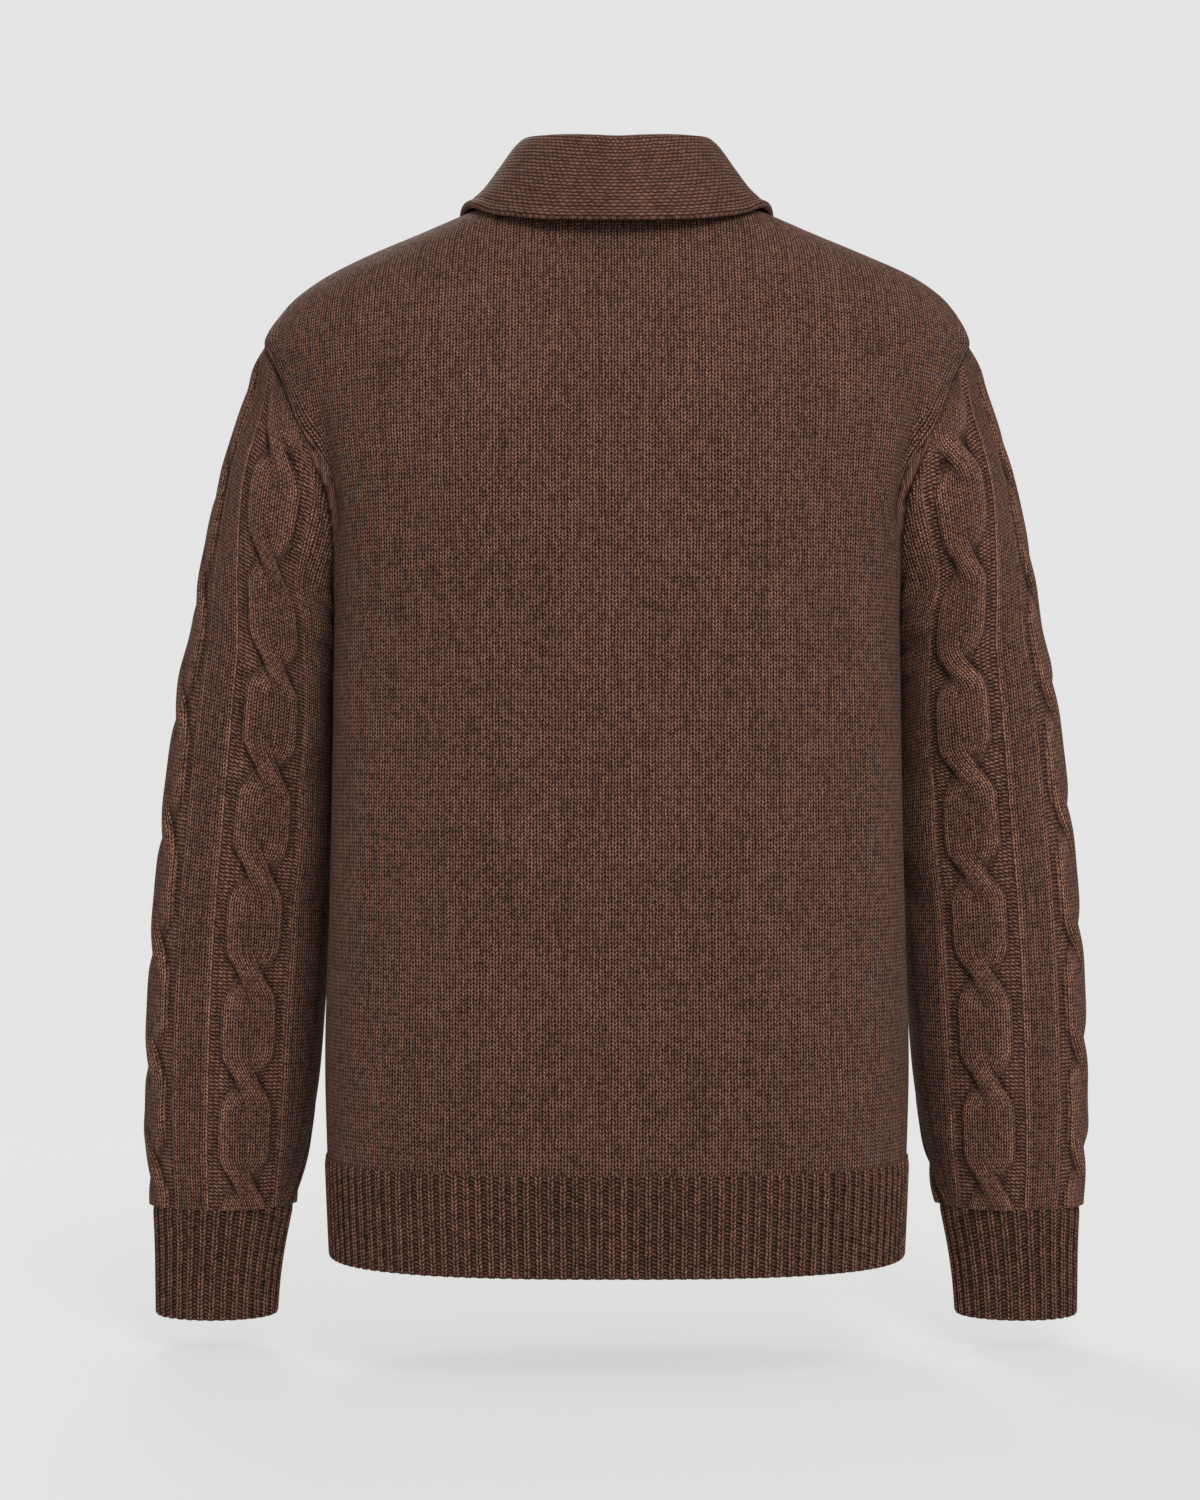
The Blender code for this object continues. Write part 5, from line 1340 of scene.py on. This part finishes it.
def button_mesh():
    """A turned button with a rounded rim, a dished face and four holes."""
    turns = np.radians(np.linspace(80, -60, 9))
    rim = zip(1 - BUTTON_RIM + BUTTON_RIM * np.cos(turns), 0.20 + 0.80 * np.sin(turns))
    shares = (*BUTTON_FACE, *rim, *BUTTON_BACK)
    profile = [(BUTTON_RADIUS * x, BUTTON_THICKNESS / 2 * z) for x, z in shares]
    body = placed("button_body", turned(profile, 56))
    holes = bmesh.new()
    for x, y in ((1, 1), (-1, 1), (-1, -1), (1, -1)):
        bmesh.ops.create_cone(
            holes,
            cap_ends=True,
            segments=20,
            radius1=BUTTON_HOLE_RADIUS,
            radius2=BUTTON_HOLE_RADIUS,
            depth=BUTTON_THICKNESS * 2,
            matrix=mathutils.Matrix.Translation((x * BUTTON_HOLE_APART, y * BUTTON_HOLE_APART, 0)),
        )
    cutter = placed("holes", mesh_of("holes", holes))
    cut = body.modifiers.new("Holes", "BOOLEAN")
    cut.operation = "DIFFERENCE"
    cut.object = cutter
    cut.solver = "EXACT"
    bpy.context.view_layer.update()
    graph = bpy.context.evaluated_depsgraph_get()
    mesh = bpy.data.meshes.new_from_object(body.evaluated_get(graph))
    for thing in (body, cutter):
        bpy.data.objects.remove(thing, do_unlink=True)
    mesh.shade_smooth()
    mesh.set_sharp_from_angle(angle=math.radians(35))
    mesh.materials.append(MATERIALS["button"])
    return mesh


def thread_mesh():
    """Two passes of sewing thread over the face, from hole to hole."""
    bm = bmesh.new()
    sides = ((0, THREAD_RADIUS, 0), (0, 0, THREAD_RADIUS))
    for y in (BUTTON_HOLE_APART, -BUTTON_HOLE_APART):
        for shift in (-THREAD_APART, THREAD_APART):
            rings = []
            for share in np.linspace(-1, 1, 9):
                x = share * (BUTTON_HOLE_APART + 0.0001)
                # It lies a little over the face, and its ends dip into the holes.
                z = BUTTON_THICKNESS * 0.12 + 0.0005 * (1 - share**2) - 0.0009 * abs(share) ** 6
                rings.append(ring_of(bm, (x, y + shift, z), *sides, 8))
            join_rings(bm, rings)
            bm.faces.new(rings[0])
            bm.faces.new(rings[-1][::-1])
    bmesh.ops.recalc_face_normals(bm, faces=bm.faces)
    mesh = mesh_of("thread", bm)
    mesh.shade_smooth()
    mesh.materials.append(MATERIALS["thread"])
    return mesh


def button_pieces():
    shared = {"turned": button_mesh(), "thread": thread_mesh()}
    for number, z in enumerate(BUTTON_HEIGHTS, 1):
        covered = z + BUTTON_RADIUS * np.array([-1.0, 0.0, 1.0])
        seat = float(torso_y(np.zeros(3), covered, -1).max()) + STRIP_LIFT
        for kind, mesh in shared.items():
            piece = placed("button_%d_%s" % (number, kind), mesh.copy())
            piece.location = (0, -(seat + BUTTON_GAP + BUTTON_THICKNESS / 2), z)
            piece.rotation_euler = (math.pi / 2, 0, 0)
            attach(piece, "root")
            if kind == "turned":
                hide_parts("button_%d" % number)


# ---------------------------------------------------------------- materials
class Nodes:
    """A new material, and short ways to build its node tree."""

    def __init__(self, name, values):
        self.material = bpy.data.materials.new(name)
        self.material.use_nodes = True
        self.tree = self.material.node_tree
        self.shader = self.tree.nodes["Principled BSDF"]
        self.feed(self.shader, values)
        self.place = self.add("ShaderNodeTexCoord").outputs["Object"]

    def feed(self, node, inputs):
        """Gives a node's inputs values or other nodes' outputs."""
        for key, value in inputs.items():
            if isinstance(value, bpy.types.NodeSocket):
                self.tree.links.new(value, node.inputs[key])
            else:
                node.inputs[key].default_value = value

    def add(self, kind, inputs=None, **settings):
        node = self.tree.nodes.new(kind)
        for key, value in settings.items():
            setattr(node, key, value)
        self.feed(node, inputs or {})
        return node

    def math(self, operation, *values, clamp=False):
        inputs = dict(enumerate(values))
        return self.add("ShaderNodeMath", inputs, operation=operation, use_clamp=clamp).outputs[0]

    def scaled(self, value, factor, added):
        return self.math("MULTIPLY_ADD", value, factor, added)

    def wave(self, value):
        """0.5 - 0.5 cos(2 pi value): 0 at whole numbers, 1 half-way."""
        cosine = self.math("COSINE", self.math("MULTIPLY", value, 2 * math.pi))
        return self.scaled(cosine, -0.5, 0.5)

    def mix(self, share, first, second):
        inputs = {0: share, 2: first, 3: second}
        return self.add("ShaderNodeMix", inputs, data_type="FLOAT").outputs[0]

    def mix_colour(self, share, first, second):
        inputs = {0: share, 6: (*first, 1.0), 7: (*second, 1.0)}
        return self.add("ShaderNodeMix", inputs, data_type="RGBA").outputs[2]

    def vector(self, x, y):
        return self.add("ShaderNodeCombineXYZ", {0: x, 1: y, 2: 0.0}).outputs[0]

    def attribute(self, name):
        return self.add("ShaderNodeAttribute", attribute_name=name).outputs["Fac"]

    def noise(self, vector, scale, detail, roughness=0.5):
        inputs = {"Vector": vector, "Scale": scale, "Detail": detail, "Roughness": roughness}
        return self.add("ShaderNodeTexNoise", inputs).outputs["Fac"]

    def varied(self, base, kind, vector=None):
        """A value with one of the yarn's irregularities."""
        amount, *noise = YARN_NOISE[kind]
        drawn = self.noise(vector or self.place, *noise)
        return self.scaled(self.math("SUBTRACT", drawn, 0.5), amount, base)

    def bump(self, height, distance):
        inputs = {"Strength": 1.0, "Distance": distance, "Height": height}
        self.feed(self.shader, {"Normal": self.add("ShaderNodeBump", inputs).outputs[0]})


def collar_height(made, u, v):
    """The collar's rows of bumps, each row half a bump further than the one before."""
    bump = made.wave(made.scaled(made.math("FLOOR", v), 0.5, u))
    row = made.math("POWER", made.wave(v), ROW_ROUNDNESS)
    return made.math("MULTIPLY", row, made.scaled(bump, BUMP_SHARE, 1 - BUMP_SHARE))


def stitch_height(made, u, v):
    """V stitches, or purl bars by the purl share."""
    # Two legs a wale that lean toward its middle: a V each course.
    legs = made.math("POWER", made.wave(made.math("MULTIPLY", u, 2.0)), LEG_ROUNDNESS)
    half = made.math("FRACT", u)
    from_middle = made.math("ABSOLUTE", made.scaled(half, 2.0, -1.0))
    along = made.wave(made.scaled(from_middle, -LEG_LEAN, v))
    knit = made.math("MULTIPLY", legs, made.scaled(along, 1.0, LEG_FLOOR))
    # Between wales the groove is deeper than between a wale's two legs.
    groove = made.math("POWER", made.math("SUBTRACT", 1.0, from_middle), GROOVE_ROUNDNESS)
    knit = made.math("MULTIPLY", knit, made.mix(GROOVE_SHARE, 1.0, groove))
    bars = made.wave(made.scaled(half, BAR_LEAN, v))
    purl = made.math("MULTIPLY", bars, made.scaled(made.wave(u), BAR_SWELL, BAR_HEIGHT))
    return made.mix(made.attribute("purl"), knit, purl)


def knit_material(name, light, shaded, collar=False):
    """Wool knit: its stitches as height, with the yarn's colour on their tops and painted shade
    down to their roots.
    """
    made = Nodes(name, CLOTH_SHADER)
    stitches = made.add("ShaderNodeUVMap", uv_map="stitches").outputs[0]
    parts = made.add("ShaderNodeSeparateXYZ", {0: stitches}).outputs
    u = made.varied(parts[0], "sway")
    v = made.varied(parts[1], "slack")
    height = made.varied((collar_height if collar else stitch_height)(made, u, v), "fibre")
    wale_place = made.vector(parts[0], made.math("MULTIPLY", parts[1], STREAK_STRETCH))
    tone = made.varied(1.0, "streak", wale_place)
    tone = made.varied(made.varied(tone, "cloud"), "speck")
    # Each leg of each stitch has its own shade of the heathered yarn.
    leg = made.math("FLOOR", u if collar else made.math("MULTIPLY", u, 2.0))
    cell = made.vector(leg, made.math("FLOOR", v))
    drawn = made.add("ShaderNodeTexWhiteNoise", {"Vector": cell}, noise_dimensions="2D")
    own = made.math("SUBTRACT", drawn.outputs["Value"], 0.5)
    tone = made.scaled(own, STITCH_SHADE * (COLLAR_SHADE_SHARE if collar else 1.0), tone)
    # Painted shade in the relief's hollows, and painted highlight on its rims and tops, read from a
    # per-point attribute.
    tone = made.math("MULTIPLY", tone, made.scaled(made.attribute("painted_shading"), -CAVITY_SHADE, 1.0))
    # Painted shade: the low parts of the stitches take the dark colour, their tops the light one.
    colour = made.mix_colour(made.math("ADD", height, 0.0, clamp=True), shaded, light)
    shown = made.add("ShaderNodeVectorMath", {0: colour, "Scale": tone}, operation="SCALE")
    made.feed(made.shader, {"Base Color": shown.outputs[0]})
    made.bump(height, BUMP_DISTANCE)
    return made.material


def button_material():
    made = Nodes("horn_button", BUTTON_SHADER)
    stretched = made.add("ShaderNodeMapping", {"Vector": made.place, "Scale": HORN_STRETCH})
    grain = made.noise(stretched.outputs[0], 160.0, 4.0, 0.6)
    ramp = made.add("ShaderNodeValToRGB", {0: grain})
    for stop, (position, colour) in zip(ramp.color_ramp.elements, HORN_COLOURS):
        stop.position = position
        stop.color = (*colour, 1.0)
    made.feed(made.shader, {"Base Color": ramp.outputs[0]})
    made.bump(made.noise(made.place, 900.0, 2.0), HORN_SCRATCHES)
    return made.material


def thread_material():
    made = Nodes("sewing_thread", CLOTH_SHADER)
    twist = made.noise(made.place, 2600.0, 1.0)
    made.feed(made.shader, {"Base Color": made.mix_colour(twist, THREAD_DARK, THREAD_LIGHT)})
    return made.material


def floor_material():
    made = Nodes("pale_floor", FLOOR_SHADER)
    # Further out the floor turns into the plain background.
    away = made.add("ShaderNodeVectorMath", {0: made.place}, operation="LENGTH").outputs["Value"]
    inputs = {"Value": away, "From Min": FLOOR_FADE[0], "From Max": FLOOR_FADE[1]}
    inputs["To Min"] = FLOOR_GLOW
    far = made.add("ShaderNodeMapRange", inputs, interpolation_type="SMOOTHSTEP").outputs[0]
    glow = made.add("ShaderNodeEmission", {"Color": (*BACKGROUND, 1.0)}).outputs[0]
    mixed = made.add("ShaderNodeMixShader", {0: far, 1: made.shader.outputs[0], 2: glow})
    made.feed(made.tree.nodes["Material Output"], {"Surface": mixed.outputs[0]})
    return made.material


# ---------------------------------------------------------------- camera, light and floor
def make_camera():
    data = bpy.data.cameras.new("camera")
    data.sensor_width = SENSOR_WIDTH
    data.lens = SENSOR_WIDTH * FOCAL_PIXELS / FRAME_HEIGHT_PIXELS
    camera = placed("camera", data)
    camera.location = CAMERA_PLACE
    camera.rotation_euler = (math.pi / 2, 0, math.pi)
    bpy.context.scene.camera = camera


def area_light(name, place):
    data = bpy.data.lights.new(name, "AREA")
    data.shape = "SQUARE"
    data.size = LIGHT_SIZE
    data.energy = LIGHT_POWER
    data.color = LIGHT_COLOUR
    lamp = placed(name, data)
    lamp.location = place
    lamp.rotation_mode = "QUATERNION"
    away = mathutils.Vector(place) - mathutils.Vector(LIGHT_TARGET)
    lamp.rotation_quaternion = away.to_track_quat("Z", "Y")


def make_stage():
    scene = bpy.context.scene
    scene.view_settings.view_transform = "Standard"
    scene.world = bpy.data.worlds.new("studio")
    scene.world.use_nodes = True
    tree = scene.world.node_tree
    background = tree.nodes["Background"]
    background.inputs["Color"].default_value = (*BACKGROUND, 1.0)
    # The backdrop is seen at its full brightness and lights the cloth a little less.
    seen = tree.nodes.new("ShaderNodeLightPath")
    strength = tree.nodes.new("ShaderNodeMapRange")
    strength.inputs["To Min"].default_value = AMBIENT
    strength.inputs["To Max"].default_value = 1.0
    tree.links.new(seen.outputs["Is Camera Ray"], strength.inputs["Value"])
    tree.links.new(strength.outputs[0], background.inputs["Strength"])
    bm = bmesh.new()
    bmesh.ops.create_circle(bm, cap_ends=True, segments=96, radius=FLOOR_RADIUS)
    mesh = mesh_of("floor", bm)
    mesh.materials.append(floor_material())
    floor = placed("floor", mesh)
    floor.location = (0, 0, FLOOR_HEIGHT)
    for name, place in LIGHTS:
        area_light(name, place)


# ---------------------------------------------------------------- assembly
def declare(piece):
    return piece


def main():
    MATERIALS["knit"] = knit_material("wool_knit", KNIT_LIGHT, KNIT_PAINTED_SHADE)
    MATERIALS["rib"] = knit_material("wool_rib", RIB_LIGHT, RIB_PAINTED_SHADE)
    MATERIALS["collar"] = knit_material("wool_collar", COLLAR_LIGHT, COLLAR_PAINTED_SHADE, collar=True)
    MATERIALS["button"] = button_material()
    MATERIALS["thread"] = thread_material()
    cuff_levels = rib_levels(CUFF_BOTTOM, CUFF_TOP)
    hem_levels = rib_levels(HEM_BOTTOM, HEM_TOP)
    back = declare(back_piece())
    for side_name, hand in (("left", 1), ("right", -1)):
        front = declare(front_piece(side_name, hand))
        sleeve = declare(sleeve_piece(side_name, hand))
        cuff = ribbed_piece("cuff_" + side_name, cuff_path, cuff_levels, True, hand)
        declare(cuff)
        hem = ribbed_piece("hem_front_" + side_name, front_hem_path, hem_levels, False, hand)
        declare(hem)
        declare(band_piece(side_name, hand))
    hem = ribbed_piece("hem_back", back_hem_path, hem_levels, False, 1)
    declare(hem)
    declare(collar_piece())
    button_pieces()
    make_stage()
    make_camera()


main()
